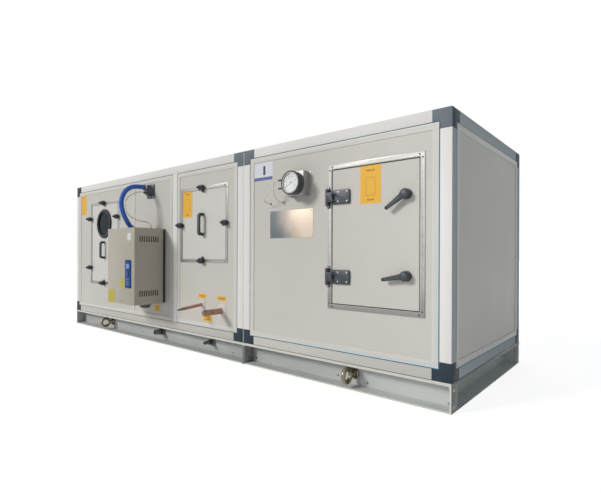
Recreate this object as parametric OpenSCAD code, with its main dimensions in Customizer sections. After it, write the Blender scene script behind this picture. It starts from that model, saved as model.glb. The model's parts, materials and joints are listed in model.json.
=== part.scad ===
// Air handling unit: two panelled sections on a steel channel base, with a hinged access door,
// two lift-off access panels, a steam humidifier, coil pipes, drains and a pressure gauge.
// Millimetres, +Z up, +X along the front to the right, origin on the floor at the base's centre.

/* [Casing] */
// Length of the left section, from the fan to the coil
left_len = 2200; // [2080:10:2800]
// Length of the right section, which has the door
right_len = 1200; // [1140:10:1600]
// Width from front to back
unit_w = 1070; // [900:10:1400]
// Height of the casing above its base
casing_h = 1100; // [1060:10:1500]
// Side of the square frame profile
profile = 50; // [44:1:60]
// Wall of the frame profile
profile_wall = 2; // [1.5:0.1:4]
// Width of the lip that a panel seats on
lip_w = 15; // [8:1:20]
// Thickness of that lip
lip_t = 3; // [2:0.5:5]
// Width of the bead around each panel
bead_w = 28; // [16:1:36]
// Width of the groove between a bead and the frame
bead_gap = 4; // [1:0.5:6]
// Thickness of the bead, and how far the panels lie back
bead_t = 3; // [2:0.5:5]
// Length of a corner block's sleeve beyond its cube
corner_sleeve = 32; // [20:1:60]
// Length of the spigot that plugs a corner block into a profile
spigot_len = 40; // [20:1:80]
// Thickness of the gasket between the sections
gasket_t = 4; // [2:0.5:10]
// Distance from the section joint to the middle of the mullion
coil_part = 680; // [620:10:800]
// Distance from the mullion to the joint strip left of it
humidifier_part = 535; // [480:5:600]
// Width of the joint strip
strip_w = 28; // [20:1:40]

/* [Base] */
// Height of the base channels
base_h = 118; // [100:1:160]
// Width of the channel flanges
channel_flange = 70; // [46:1:90]
// Thickness of the channel web
channel_web = 5.5; // [4:0.5:8]
// Thickness of a flange at its tip
flange_tip = 7; // [5:0.5:10]
// Thickness of a flange at its root
flange_root = 11; // [8:0.5:14]
// Thickness of the plates that close the side channels
end_plate_t = 8; // [5:0.5:12]
// Distance of the left lifting eyes from the left end
left_eye_inset = 546; // [300:10:800]
// Distance of the right lifting eyes from the right end
right_eye_inset = 490; // [300:10:800]
// Radius of the middle of a lifting eye's ring
eye_ring_r = 31; // [27:1:36]
// Radius of the bar of that ring
eye_bar_r = 8.5; // [6:0.5:10]
// Distance of the lifting eyes' centres below the casing
eye_below = 53; // [48:1:60]
// How far those centres stand in front of the base
eye_proud = 2; // [0:1:20]
// Outer radius of the drain pipe under the humidifier
drain_r = 17; // [12:0.5:22]
// Outer radius of the drain pipe under the coil
coil_drain_r = 11; // [8:0.5:17]
// Distance of the drain pipes below the casing
drain_below = 47; // [44:1:60]
// Distance of the humidifier's drain from the section joint
drain_in = 915; // [860:1:960]
// Distance of the coil's drain from the section joint
coil_drain_in = 354; // [300:1:400]
// How far the drain pipes stand in front of the base
drain_tip = 3; // [0:1:30]

/* [Door] */
// Width of the door leaf
door_w = 439; // [380:1:460]
// Height of the door leaf
door_h = 635; // [560:1:650]
// Thickness of the door leaf
door_t = 39; // [30:1:39]
// Distance of the leaf from the right end of the unit
door_inset = 138; // [130:1:200]
// Height of the leaf's lower edge above the casing's bottom
door_sill = 278; // [200:1:300]
// Clearance around the leaf
door_gap = 5; // [4:0.5:8]
// Width of the metal strip around the door and the access panels
trim_w = 22; // [16:1:30]
// Height of the hinge centres above the leaf's lower edge, lower one
lower_hinge = 127; // [90:1:200]
// Height of the upper hinge centre above the leaf's lower edge
upper_hinge = 506; // [400:1:540]
// Distance of the hinge axis from the leaf's edge
hinge_offset = 22; // [12:1:28]
// Radius of a hinge knuckle
knuckle_r = 9; // [7:0.5:11]
// Radius of a hinge pin
hinge_pin_r = 4; // [3:0.5:5]
// Length of the hinge plate on the frame
hinge_frame_h = 104; // [96:1:130]
// Height of the hinge plate on the leaf
hinge_leaf_h = 68; // [50:1:80]
// Length of the middle knuckle
knuckle_h = 46; // [30:1:60]
// Width of the hinge plate on the leaf
hinge_leaf_w = 98; // [60:1:110]
// Distance of the lever hubs from the leaf's right edge
lever_inset = 55; // [45:1:90]
// Height of the lower lever's hub above the leaf's lower edge
lower_hub = 143; // [90:1:200]
// Height of the upper lever's hub above the leaf's lower edge
upper_hub = 490; // [400:1:540]
// Length of a lever from its hub to its tip
lever_len = 107; // [90:1:150]
// Drop of the upper lever below level, in degrees
upper_lever_drop = 34; // [0:1:45]
// Drop of the lower lever below level, in degrees
lower_lever_drop = 10; // [0:1:45]

/* [Access panels] */
// Width of the fan access opening
fan_access_w = 440; // [360:1:460]
// Height of the fan access opening
fan_access_h = 636; // [560:1:640]
// Distance of the fan access centre from the left end
fan_access_x = 515; // [480:1:600]
// Height of the fan access centre above the casing's bottom
fan_access_z = 597; // [560:1:620]
// Width of the coil access opening
coil_access_w = 430; // [360:1:440]
// Height of the coil access opening
coil_access_h = 436; // [360:1:440]
// Distance of the coil access centre from the section joint
coil_access_x = 377; // [340:1:390]
// Height of the coil access centre above the casing's bottom
coil_access_z = 697; // [620:1:720]
// Outer radius of the porthole ring
porthole_r = 120; // [90:1:135]
// Height of the porthole above the middle of its panel
porthole_rise = 159; // [140:1:160]
// Distance of the fan access handle below the middle of its panel
handle_fall = 57; // [50:1:120]
// Length of a bow handle
handle_len = 143; // [110:1:180]
// How far a bow handle stands out
handle_out = 40; // [32:1:60]

/* [Humidifier] */
// Width of the cabinet
cabinet_w = 360; // [300:1:380]
// Depth of the cabinet and its back frame
cabinet_d = 230; // [180:1:280]
// Height of the cabinet
cabinet_h = 512; // [460:1:540]
// Height of the cabinet above the casing's bottom
cabinet_sill = 171; // [140:1:240]
// Thickness of the cabinet's sheet metal
sheet_t = 2; // [1.5:0.1:3]
// Depth of the back frame
back_frame_d = 20; // [12:1:30]
// Distance of the cabinet's middle left of the middle of its panel
cabinet_shift = 26; // [0:1:60]
// Number of slots in each row
slot_count = 9; // [5:1:10]
// Distance from one slot to the next
slot_pitch = 16.3; // [12:0.1:18]
// Width of a slot
slot_w = 8; // [5:0.5:10]
// Height of a slot
slot_h = 39; // [20:1:60]
// Distance of the rows of slots from the cabinet's top and bottom
slot_margin = 75; // [50:1:120]
// Width of the control panel
control_w = 76; // [60:1:100]
// Height of the control panel
control_h = 187; // [140:1:220]
// Distance of the control panel from the cabinet's right side
control_inset = 39; // [20:1:80]
// Height of the control panel's lower edge above the cabinet's bottom
control_sill = 111; // [60:1:160]
// Radius of the drain cup under the cabinet
cup_r = 43; // [30:1:50]
// Distance of the drain cup's middle from the cabinet's right side
cup_inset = 92; // [60:1:120]
// Distance of the steam inlet below the casing's top
inlet_drop = 142; // [130:1:180]
// Outer diameter of the steam hose
hose_d = 32; // [28:1:36]
// Outer diameter of the condensate hose
condensate_d = 8; // [6:0.5:12]

/* [Pipes and gauge] */
// Outer radius of the suction pipe
suction_r = 17.5; // [12:0.5:22]
// Outer radius of the liquid pipe
liquid_r = 9.5; // [6:0.5:14]
// How far the suction pipe stands out
suction_len = 140; // [100:1:200]
// Distance of the suction pipe from the section joint
suction_in = 194; // [140:1:240]
// Height of the suction pipe above the casing's bottom
suction_rise = 168; // [130:1:220]
// How far the liquid pipe stands out
liquid_len = 182; // [120:1:240]
// Distance of the liquid pipe from the section joint
liquid_in = 382; // [320:1:420]
// Height of the liquid pipe above the casing's bottom
liquid_rise = 192; // [150:1:240]
// Droop of the liquid pipe's free end, in degrees
liquid_droop = 6; // [0:0.5:10]
// Length of the liquid pipe's pinched end
pinch_len = 40; // [20:1:60]
// Length of the suction pipe's cap
cap_len = 14; // [12:1:40]
// Radius of the gauge bezel
gauge_r = 60; // [50:1:70]
// Depth of the gauge in front of its bracket
gauge_d = 40; // [30:1:60]
// Width of the gauge bracket
bracket_w = 104; // [90:1:120]
// Height of the gauge bracket
bracket_h = 122; // [110:1:150]
// Depth of the gauge bracket
bracket_d = 46; // [36:1:60]
// Width of the bracket's feet on the wall
bracket_foot = 14; // [10:1:24]
// Distance of the gauge from the section joint
gauge_in = 425; // [380:1:460]
// Distance of the gauge below the casing's top
gauge_drop = 234; // [200:1:280]
// Length of the gauge's ports
port_len = 45; // [20:1:60]
// Outer diameter of the pressure tubes
tube_d = 6; // [4:0.5:8]

/* [Ducts] */
// Longer side of the duct collars
duct_w = 640; // [400:10:700]
// Shorter side of the duct collars
duct_h = 560; // [400:10:640]
// Height of the duct collars
collar_h = 40; // [30:1:60]
// Width of the duct flanges
duct_flange = 30; // [20:1:40]

/* [Hidden] */
$fn = 48;
fit = 0.5;
run_fit = 0.05;
eps = 0.01;
unit_l = left_len + right_len;
x_left = -unit_l / 2;
x_joint = x_left + left_len;
x_right = unit_l / 2;
front = -unit_w / 2;
face = front + bead_t;
z_floor = base_h;
z_top = base_h + casing_h;
panel_t = profile - bead_t - lip_t;
bead_reach = bead_gap + bead_w;
left_end = x_joint - gasket_t / 2;
right_start = x_joint + gasket_t / 2;
left_span = left_end - x_left;
right_span = x_right - right_start;
corner_leg = profile + corner_sleeve;
mullion_x = x_joint - coil_part;
strip_x = mullion_x - humidifier_part;
z_panel_low = z_floor + profile;
z_panel_high = z_top - profile;
web_face = channel_flange - channel_web;
eye_z = base_h - eye_below;
collar_t = 3;
door_x = x_right - door_inset - door_w / 2;
door_z = z_floor + door_sill + door_h / 2;
door_left = door_x - door_w / 2;
hinge_x = door_left - hinge_offset;
hinge_plate_t = 4;
hinge_y = front - hinge_plate_t - fit - knuckle_r;
lever_x = door_x + door_w / 2 - lever_inset;
rosette_t = 6;
rosette_r = 23;
spindle_r = 12;
hub_gap = 0.3;
access_t = 3;
fan_latch_z = 206;
fan_x = x_left + fan_access_x;
fan_z = z_floor + fan_access_z;
coil_x_least = mullion_x + profile / 2 + bead_reach + trim_w + coil_access_w / 2;
coil_x = max(x_joint - coil_access_x, coil_x_least);
coil_z = z_floor + coil_access_z;
cabinet_x = strip_x + humidifier_part / 2 - cabinet_shift;
cabinet_z = z_floor + cabinet_sill;
outlet_rise = 12;
outlet_len = 24;
steam_outlet_x = -31.5;
steam_outlet_out = 136;
condensate_x = 48.5;
condensate_out = 32;
inlet_x = cabinet_x - 6.5;
inlet_z = z_top - inlet_drop;
inlet_bore_r = 30;
inlet_plate_t = 8;
steam_stub_rise = 24;
condensate_stub_fall = 12;
stub_len = 52;
gauge_x = x_joint + gauge_in;
gauge_z = z_top - gauge_drop;
upper_port = 22;
lower_port = -20;
port_out = 22;
upper_fitting = [-125, -80];
lower_fitting = [-215, -80];
fitting_r = 7;
fitting_t = 6;
liquid_x = x_joint - liquid_in;
liquid_z = z_floor + liquid_rise;
suction_x = x_joint - suction_in;
suction_z = z_floor + suction_rise;
pipe_collar = 1;
escutcheon_h = 7;
bend_out = 5;

// Ends of the hoses: cabinet, steam inlet, gauge ports and wall fittings
steam_start = [cabinet_x + steam_outlet_x, face - steam_outlet_out, cabinet_z + cabinet_h + outlet_rise];
steam_end = [inlet_x, face - inlet_plate_t - stub_len, inlet_z + steam_stub_rise];
condensate_start = [inlet_x, face - inlet_plate_t - stub_len, inlet_z - condensate_stub_fall];
condensate_end = [cabinet_x + condensate_x, face - condensate_out, cabinet_z + cabinet_h + outlet_rise];
port_x = gauge_x - gauge_r + 12 - port_len;
upper_tube_start = [port_x, face - bracket_d - port_out, gauge_z + upper_port];
upper_tube_end = [gauge_x + upper_fitting[0], face - fitting_t, gauge_z + upper_fitting[1]];
lower_tube_start = [port_x, face - bracket_d - port_out, gauge_z + lower_port];
lower_tube_end = [gauge_x + lower_fitting[0], face - fitting_t, gauge_z + lower_fitting[1]];

// Routes of the hoses at the unit's usual size, in its own frame
steam_route = [
    [-505, -668, 813], [-505, -683, 828], [-503, -702, 854], [-501, -721, 886], [-499, -736, 922],
    [-497, -745, 960], [-494, -746, 998], [-491, -736, 1034], [-488, -714, 1066], [-485, -684, 1088],
    [-482, -650, 1098], [-480, -618, 1100], [-480, -592, 1100]];
condensate_route = [
    [-480, -592, 1064], [-480, -622, 1064], [-477, -668, 1046], [-473, -708, 1020], [-468, -728, 987],
    [-462, -735, 949], [-456, -731, 915], [-450, -709, 887], [-444, -680, 868], [-438, -640, 856],
    [-432, -602, 852], [-427, -578, 843], [-425, -564, 827], [-425, -564, 813]];
upper_tube_route = [
    [832, -600, 1006], [815, -600, 1006], [797, -600, 991], [787, -591, 961], [787, -581, 932],
    [793, -569, 913], [799, -559, 905], [800, -550, 904], [800, -538, 904]];
lower_tube_route = [
    [832, -600, 964], [814, -600, 964], [782, -605, 956], [748, -603, 940], [722, -593, 922],
    [712, -577, 910], [710, -562, 905], [710, -550, 904], [710, -538, 904]];

// Colours as the photograph shows them
white = [0.89, 0.89, 0.88];
panel_grey = [0.80, 0.79, 0.76];
base_grey = [0.72, 0.74, 0.73];
slate = [0.27, 0.31, 0.35];
black = [0.10, 0.10, 0.11];
aluminium = [0.78, 0.78, 0.78];
beige = [0.72, 0.70, 0.65];
copper = [0.65, 0.42, 0.36];
hose_blue = [0.14, 0.32, 0.66];

// Frame on the front face: local x is the unit's X, local y its Z, and local z points out of the face
module on_front(x, z) {
    translate([x, face, z]) rotate([90, 0, 0]) children();
}

// The same frame on the back face
module on_back(x, z) {
    mirror([0, 1, 0]) on_front(x, z) children();
}

// The four, or eight, mirror images about the origin
module mirrored(x = 1, y = 1, z = 1) {
    for (i = [0:x], j = [0:y], k = [0:z])
        mirror([i, 0, 0]) mirror([0, j, 0]) mirror([0, 0, k]) children();
}

// One copy at the middle of each section, handed the section's length as $span
module each_section() {
    translate([x_left + left_span / 2, 0, 0]) {
        $span = left_span;
        children();
    }
    translate([right_start + right_span / 2, 0, 0]) {
        $span = right_span;
        children();
    }
}

module rectangle(w, h) {
    square([w, h], center = true);
}

module rounded_rectangle(w, h, r) {
    union() {
        square([w - 2 * r, h], center = true);
        square([w, h - 2 * r], center = true);
        for (x = [-1, 1], y = [-1, 1]) translate([x * (w / 2 - r), y * (h / 2 - r)]) circle(r);
    }
}

// Flat ring around an opening of the given size
module ring(w, h, t) {
    difference() {
        rectangle(w + 2 * t, h + 2 * t);
        rectangle(w, h);
    }
}

// A slab let into the front wall, from an outline drawn on the face
module slab(t) {
    translate([0, 0, -t]) linear_extrude(t) children();
}

// Base

// Section of a rolled channel: back at x = 0, flanges towards +x, with sloped inner faces
module channel_section() {
    polygon([
        [0, 0], [channel_flange, 0], [channel_flange, flange_tip], [channel_web, flange_root],
        [channel_web, base_h - flange_root], [channel_flange, base_h - flange_tip],
        [channel_flange, base_h], [0, base_h]]);
}

module side_channel_blank() {
    length = $span - 2 * end_plate_t;
    translate([-length / 2, -unit_w / 2 + channel_flange, 0])
        rotate([90, 0, 90]) linear_extrude(length) mirror([1, 0]) channel_section();
}

// One copy at each drain, handed the pipe's outer radius as $r
module drain_places() {
    for (p = [[drain_in, drain_r], [coil_drain_in, coil_drain_r]])
        translate([x_joint - p[0], 0, z_floor - drain_below]) {
            $r = p[1];
            children();
        }
}

module base_side_channels() color(base_grey) {
    difference() {
        each_section() mirrored(0, 1, 0) side_channel_blank();
        drain_places() translate([0, front + channel_flange + 1, 0])
            rotate([90, 0, 0]) cylinder(r = $r + fit, h = channel_flange + 2);
    }
}

module base_end_channels() color(base_grey) {
    length = unit_w - 2 * channel_flange;
    each_section() mirrored(1, 0, 0)
        translate([-$span / 2 + channel_flange, length / 2, 0])
            rotate([90, 0, 0]) linear_extrude(length) mirror([1, 0]) channel_section();
    translate([-channel_flange / 2, length / 2, 0])
        rotate([90, 0, 0]) linear_extrude(length) channel_section();
}

module base_end_plates() color(base_grey) {
    each_section() mirrored(1, 1, 0)
        translate([-$span / 2, -unit_w / 2, 0]) cube([end_plate_t, channel_flange, base_h]);
}

// Eye bolt on a channel web: collar, tapered neck and a ring that stands upright, across the web
module lifting_eye() {
    collar = 10;
    collar_r = 25;
    reach = web_face + eye_proud;
    neck = reach - eye_ring_r;
    translate([0, front + web_face, eye_z]) {
        rotate([90, 0, 0]) rotate_extrude() polygon([
            [0, 0], [collar_r, 0], [collar_r, collar - 3], [collar_r - 4, collar], [neck / 2 + 2, collar],
            [eye_bar_r + 2, neck - 4], [eye_bar_r, neck], [0, neck]]);
        translate([0, -reach, 0]) rotate([0, 90, 0]) rotate_extrude()
            translate([eye_ring_r, 0]) circle(eye_bar_r);
    }
}

module lifting_eye_pair() {
    for (x = [x_left + left_eye_inset, x_right - right_eye_inset]) translate([x, 0, 0]) lifting_eye();
}

module front_lifting_eyes() color(aluminium) lifting_eye_pair();

module back_lifting_eyes() color(aluminium) mirror([0, 1, 0]) lifting_eye_pair();

// Drain pipe through the web: washer, back nut and a pipe with an open end
module drain_stubs() color(aluminium) {
    wall = 3;
    washer_t = 6;
    washer_r = drain_r + 11;
    nut_t = 14;
    drain_places() translate([0, front + channel_flange, 0]) rotate([90, 0, 0]) difference() {
        length = channel_flange + drain_tip;
        union() {
            cylinder(r = $r, h = length);
            translate([0, 0, channel_web]) cylinder(r = washer_r, h = washer_t);
            translate([0, 0, channel_web + washer_t - eps]) cylinder(r = $r + 8, h = nut_t, $fn = 6);
        }
        translate([0, 0, -1]) cylinder(r = $r - wall, h = length + 2);
    }
}

// Casing frame

// Hollow square extrusion with its outer corner at the origin and two lips for the panels
module frame_section() {
    inner = profile - 2 * profile_wall;
    difference() {
        square(profile);
        translate([profile_wall, profile_wall]) square(inner);
    }
    translate([profile - eps, profile - lip_t]) square([lip_w, lip_t]);
    translate([profile - lip_t, profile - eps]) square([lip_t, lip_w]);
}

module corner_posts() color(white) {
    length = casing_h - 2 * corner_leg;
    translate([0, 0, z_floor + corner_leg]) each_section() mirrored(1, 1, 0)
        translate([-$span / 2, -unit_w / 2, 0]) linear_extrude(length) frame_section();
}

module long_rails() color(white) {
    translate([0, 0, z_floor + casing_h / 2]) each_section() mirrored(0, 1, 1)
        translate([-$span / 2 + corner_leg, -unit_w / 2, -casing_h / 2])
            rotate([90, 0, 90]) linear_extrude($span - 2 * corner_leg) frame_section();
}

module cross_rails() color(white) {
    length = unit_w - 2 * corner_leg;
    translate([0, 0, z_floor + casing_h / 2]) each_section() mirrored(1, 0, 1)
        translate([-$span / 2, length / 2, -casing_h / 2])
            rotate([90, 0, 0]) linear_extrude(length) frame_section();
}

// Three-way corner: a cube with three sleeves and the spigots that plug into the profiles
module corner_block() {
    plug = profile - 2 * profile_wall - 2 * fit;
    inset = profile_wall + fit;
    reach = corner_leg + spigot_len;
    cube([corner_leg, profile, profile]);
    cube([profile, corner_leg, profile]);
    cube([profile, profile, corner_leg]);
    translate([inset, inset, inset]) {
        cube([reach - inset, plug, plug]);
        cube([plug, reach - inset, plug]);
        cube([plug, plug, reach - inset]);
    }
}

module corner_blocks() color(slate) {
    translate([0, 0, z_floor + casing_h / 2]) each_section() mirrored()
        translate([-$span / 2, -unit_w / 2, -casing_h / 2]) corner_block();
}

// Mullion of the given length, along local y, with its outer face at the front of the profile
module mullion(length) {
    translate([0, 0, bead_t]) difference() {
        translate([-profile / 2, -length / 2, -profile + lip_t]) cube([profile, length, profile - lip_t]);
        translate([-profile / 2 + profile_wall, -length / 2 - 1, -profile + lip_t + profile_wall])
            cube([profile - 2 * profile_wall, length + 2, profile - lip_t - 2 * profile_wall]);
    }
    lip_span = profile + 2 * lip_w;
    lip_len = length - 2 * lip_w - 2 * fit;
    translate([-lip_span / 2, -lip_len / 2, bead_t - profile]) cube([lip_span, lip_len, lip_t]);
}

module mullions() color(white) {
    z_mid = (z_panel_low + z_panel_high) / 2;
    on_front(mullion_x, z_mid) mullion(z_panel_high - z_panel_low);
    on_back(mullion_x, z_mid) mullion(z_panel_high - z_panel_low);
    for (k = [0, 1]) translate([mullion_x, 0, z_floor + casing_h / 2]) mirror([0, 0, k])
        translate([0, 0, casing_h / 2 - bead_t]) mullion(unit_w - 2 * profile);
}

// Bead around an opening from x0 to x1, on the front face
module front_bead(x0, x1) {
    w = x1 - x0;
    h = z_panel_high - z_panel_low;
    on_front((x0 + x1) / 2, (z_panel_low + z_panel_high) / 2) linear_extrude(bead_t)
        ring(w - 2 * bead_reach, h - 2 * bead_reach, bead_w);
}

module wall_beads() {
    front_bead(x_left + profile, mullion_x - profile / 2);
    front_bead(mullion_x + profile / 2, left_end - profile);
    front_bead(right_start + profile, x_right - profile);
    on_front(strip_x, (z_panel_low + z_panel_high) / 2) linear_extrude(bead_t)
        rectangle(strip_w, z_panel_high - z_panel_low - 2 * bead_reach);
}

module end_bead() {
    w = unit_w - 2 * profile;
    h = z_panel_high - z_panel_low;
    translate([-bead_t, 0, (z_panel_low + z_panel_high) / 2]) rotate([90, 0, 90])
        linear_extrude(bead_t) ring(w - 2 * bead_reach, h - 2 * bead_reach, bead_w);
}

module roof_bead(x0, x1) {
    translate([(x0 + x1) / 2, 0, z_top - bead_t]) linear_extrude(bead_t)
        ring(x1 - x0 - 2 * bead_reach, unit_w - 2 * profile - 2 * bead_reach, bead_w);
}

module panel_beads() color(white) {
    wall_beads();
    mirror([0, 1, 0]) wall_beads();
    translate([x_right, 0, 0]) end_bead();
    mirror([1, 0, 0]) translate([-x_left, 0, 0]) end_bead();
    roof_bead(x_left + profile, mullion_x - profile / 2);
    roof_bead(mullion_x + profile / 2, left_end - profile);
    roof_bead(right_start + profile, x_right - profile);
}

module section_gasket() color(white) {
    margin = 5;
    width = profile - 2 * margin;
    translate([x_joint - gasket_t / 2, 0, z_floor + casing_h / 2]) rotate([90, 0, 90])
        linear_extrude(gasket_t) ring(unit_w - 2 * (margin + width), casing_h - 2 * (margin + width), width);
}

// Panels

// Outline of a wall panel between x0 and x1, drawn in the unit's own X and Z
module panel_outline(x0, x1) {
    translate([x0 + fit, z_panel_low + fit]) square([x1 - x0 - 2 * fit, z_panel_high - z_panel_low - 2 * fit]);
}

module fan_front_panel() color(panel_grey) on_front(0, 0) slab(panel_t) difference() {
    panel_outline(x_left + profile, strip_x);
    translate([fan_x, fan_z]) rectangle(fan_access_w, fan_access_h);
}

module middle_front_panel() color(panel_grey) on_front(0, 0) slab(panel_t) difference() {
    panel_outline(strip_x, mullion_x - profile / 2);
    translate([inlet_x, inlet_z]) circle(inlet_bore_r);
}

module coil_front_panel() color(panel_grey) on_front(0, 0) slab(panel_t) difference() {
    panel_outline(mullion_x + profile / 2, left_end - profile);
    translate([coil_x, coil_z]) rectangle(coil_access_w, coil_access_h);
    translate([liquid_x, liquid_z]) circle(liquid_r + pipe_collar + fit);
    translate([suction_x, suction_z]) circle(suction_r + pipe_collar + fit);
}

module right_front_panel() color(panel_grey) on_front(0, 0) slab(panel_t) difference() {
    panel_outline(right_start + profile, x_right - profile);
    translate([door_x, door_z]) rectangle(door_w + 2 * door_gap, door_h + 2 * door_gap);
}

module back_panels() color(panel_grey) on_back(0, 0) slab(panel_t) {
    panel_outline(x_left + profile, strip_x);
    panel_outline(strip_x, mullion_x - profile / 2);
    panel_outline(mullion_x + profile / 2, left_end - profile);
    panel_outline(right_start + profile, x_right - profile);
}

// End panel with its outer face at x = 0, towards +x
module end_panel(opening) {
    h = z_panel_high - z_panel_low - 2 * fit;
    translate([-bead_t - panel_t, 0, (z_panel_low + z_panel_high) / 2]) rotate([90, 0, 90])
        linear_extrude(panel_t) difference() {
            rectangle(unit_w - 2 * profile - 2 * fit, h);
            if (opening) rectangle(duct_w + 2 * fit, duct_h + 2 * fit);
        }
}

module left_end_panel() color(panel_grey) mirror([1, 0, 0]) translate([-x_left, 0, 0]) end_panel(true);

module right_end_panel() color(panel_grey) translate([x_right, 0, 0]) end_panel(false);

// Roof or floor panel between x0 and x1, drawn flat
module flat_outline(x0, x1) {
    translate([(x0 + x1) / 2, 0]) rectangle(x1 - x0 - 2 * fit, unit_w - 2 * profile - 2 * fit);
}

module return_place() {
    translate([(right_start + x_right) / 2, 0, z_top]) children();
}

module roof_panels() color(panel_grey) difference() {
    translate([0, 0, z_top - bead_t - panel_t]) linear_extrude(panel_t) {
        flat_outline(x_left + profile, mullion_x - profile / 2);
        flat_outline(mullion_x + profile / 2, left_end - profile);
        flat_outline(right_start + profile, x_right - profile);
    }
    return_place() translate([0, 0, -profile]) linear_extrude(2 * profile)
        rectangle(duct_w + 2 * fit, duct_h + 2 * fit);
}

module floor_panels() color(panel_grey) translate([0, 0, z_floor + bead_t]) linear_extrude(panel_t) {
    flat_outline(x_left + profile, mullion_x - profile / 2);
    flat_outline(mullion_x + profile / 2, left_end - profile);
    flat_outline(right_start + profile, x_right - profile);
}

// Sheet metal sleeve through a panel, with a flange at its outer end, along +z from the casing's face
module duct_collar() {
    depth = bead_t + panel_t;
    translate([0, 0, -depth]) linear_extrude(depth + collar_h)
        ring(duct_w - 2 * collar_t, duct_h - 2 * collar_t, collar_t);
    translate([0, 0, collar_h - collar_t]) linear_extrude(collar_t)
        ring(duct_w - 2 * collar_t, duct_h - 2 * collar_t, collar_t + duct_flange);
}

module supply_collar() color(aluminium)
    translate([x_left, 0, (z_panel_low + z_panel_high) / 2]) rotate([90, 0, -90]) duct_collar();

module return_collar() color(aluminium) return_place() duct_collar();

// Door

module door_frame() color(aluminium) on_front(door_x, door_z) linear_extrude(bead_t)
    ring(door_w + 2 * door_gap, door_h + 2 * door_gap, trim_w);

module door_stop() color(black) on_front(door_x, door_z) translate([0, 0, -panel_t - lip_t])
    linear_extrude(lip_t) ring(door_w - 4 * door_gap, door_h - 4 * door_gap, 8 * door_gap);

module door_leaf() color(panel_grey) on_front(door_x, door_z) slab(door_t) difference() {
    rectangle(door_w, door_h);
    for (z = [lower_hub, upper_hub]) translate([door_w / 2 - lever_inset, z - door_h / 2])
        circle(spindle_r);
}

module hinge_places() {
    for (z = [lower_hinge, upper_hinge])
        translate([hinge_x, hinge_y, door_z - door_h / 2 + z]) children();
}

// Plate on the door frame with a screw lug above and below, the two outer knuckles and the pin
module hinge_frame_leaf() {
    width = 2 * knuckle_r + 6;
    lug_r = knuckle_r;
    lug_z = hinge_frame_h / 2 - lug_r;
    barrel_h = hinge_frame_h - 2 * lug_r - 6;
    end_h = (barrel_h - knuckle_h) / 2 - fit;
    plate_y = front - hinge_plate_t - hinge_y;
    translate([0, plate_y + hinge_plate_t, 0]) rotate([90, 0, 0]) linear_extrude(hinge_plate_t) {
        rectangle(width, barrel_h);
        rectangle(2 * lug_r, 2 * lug_z);
        for (z = [-lug_z, lug_z]) translate([0, z]) circle(lug_r);
    }
    for (k = [0, 1]) mirror([0, 0, k]) translate([0, 0, barrel_h / 2 - end_h]) {
        cylinder(r = knuckle_r, h = end_h);
        translate([-knuckle_r, 0, 0]) cube([2 * knuckle_r, plate_y + eps, end_h]);
    }
    translate([0, 0, -barrel_h / 2]) cylinder(r = hinge_pin_r, h = barrel_h);
}

module hinge_frame_leaves() color(black) hinge_places() hinge_frame_leaf();

// Plate on the leaf, with the middle knuckle, an arm that bridges the gap and two ribs that run out on it
module hinge_door_leaf() {
    seat = face - hinge_y;
    plate_t = 9;
    plate_x = hinge_offset + 2;
    corner_r = 8;
    arm_y = -knuckle_r + 1;
    rib_t = 8;
    rib_l = 22;
    difference() {
        union() {
            cylinder(r = knuckle_r, h = knuckle_h, center = true);
            translate([0, arm_y, -knuckle_h / 2]) cube([plate_x + 6, knuckle_r - 2, knuckle_h]);
            translate([plate_x, arm_y, -knuckle_h / 2]) cube([8, seat - arm_y, knuckle_h]);
            translate([plate_x + hinge_leaf_w / 2, seat, 0]) rotate([90, 0, 0]) linear_extrude(plate_t)
                rounded_rectangle(hinge_leaf_w, hinge_leaf_h, corner_r);
            for (z = [-1, 1]) translate([plate_x, 0, z * (knuckle_h / 2 - rib_t)])
                translate([0, 0, -rib_t / 2]) linear_extrude(rib_t)
                    polygon([[0, arm_y], [10, arm_y], [rib_l, seat - plate_t], [rib_l, seat], [0, seat]]);
        }
        cylinder(r = hinge_pin_r + run_fit, h = knuckle_h + 2, center = true);
    }
}

module hinge_door_leaves() color(black) hinge_places() hinge_door_leaf();

module lever_places() {
    for (z = [lower_hub, upper_hub]) on_front(lever_x, door_z - door_h / 2 + z) children();
}

module lever_rosettes() color(black) lever_places() difference() {
    cylinder(r = rosette_r, h = rosette_t);
    translate([0, 0, -1]) cylinder(r = spindle_r + run_fit, h = rosette_t + 2);
}

// Lever on the front frame, pointing to local -x: a spindle, a domed hub and a tapered arm with soft edges
module lever() {
    hub_r = 22;
    hub_h = 30;
    root_w = 13;
    tip_w = 8;
    soft = 3;
    rise = rosette_t + hub_gap;
    translate([0, 0, -door_t / 2]) cylinder(r = spindle_r - run_fit, h = door_t / 2 + rise + 4);
    translate([0, 0, rise]) rotate_extrude() polygon([
        [0, 0], [hub_r, 0], [hub_r, hub_h - 10], [hub_r - 2, hub_h - 5], [hub_r - 6, hub_h - 1.5],
        [hub_r - 11, hub_h], [0, hub_h]]);
    hull() {
        arm_end(0, root_w, rise + 10, 18, soft);
        arm_end(-lever_len + tip_w, tip_w, rise + 18, 11, soft);
    }
}

// Round end of a lever's arm: a bar of radius r and height h with its edges drawn in
module arm_end(x, r, z, h, soft) {
    translate([x, 0, z]) cylinder(r = r - soft, h = h, $fn = 28);
    translate([x, 0, z + soft]) cylinder(r = r, h = h - 2 * soft, $fn = 28);
}

module upper_lever() color(black) on_front(lever_x, door_z - door_h / 2 + upper_hub)
    rotate(upper_lever_drop) lever();

module lower_lever() color(black) on_front(lever_x, door_z - door_h / 2 + lower_hub)
    rotate(lower_lever_drop) lever();

// Access panels

module fan_access_panel() color(panel_grey) on_front(fan_x, fan_z) slab(panel_t) difference() {
    rectangle(fan_access_w - 2 * fit, fan_access_h - 2 * fit);
    translate([0, porthole_rise]) circle(porthole_r - 20);
}

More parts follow.
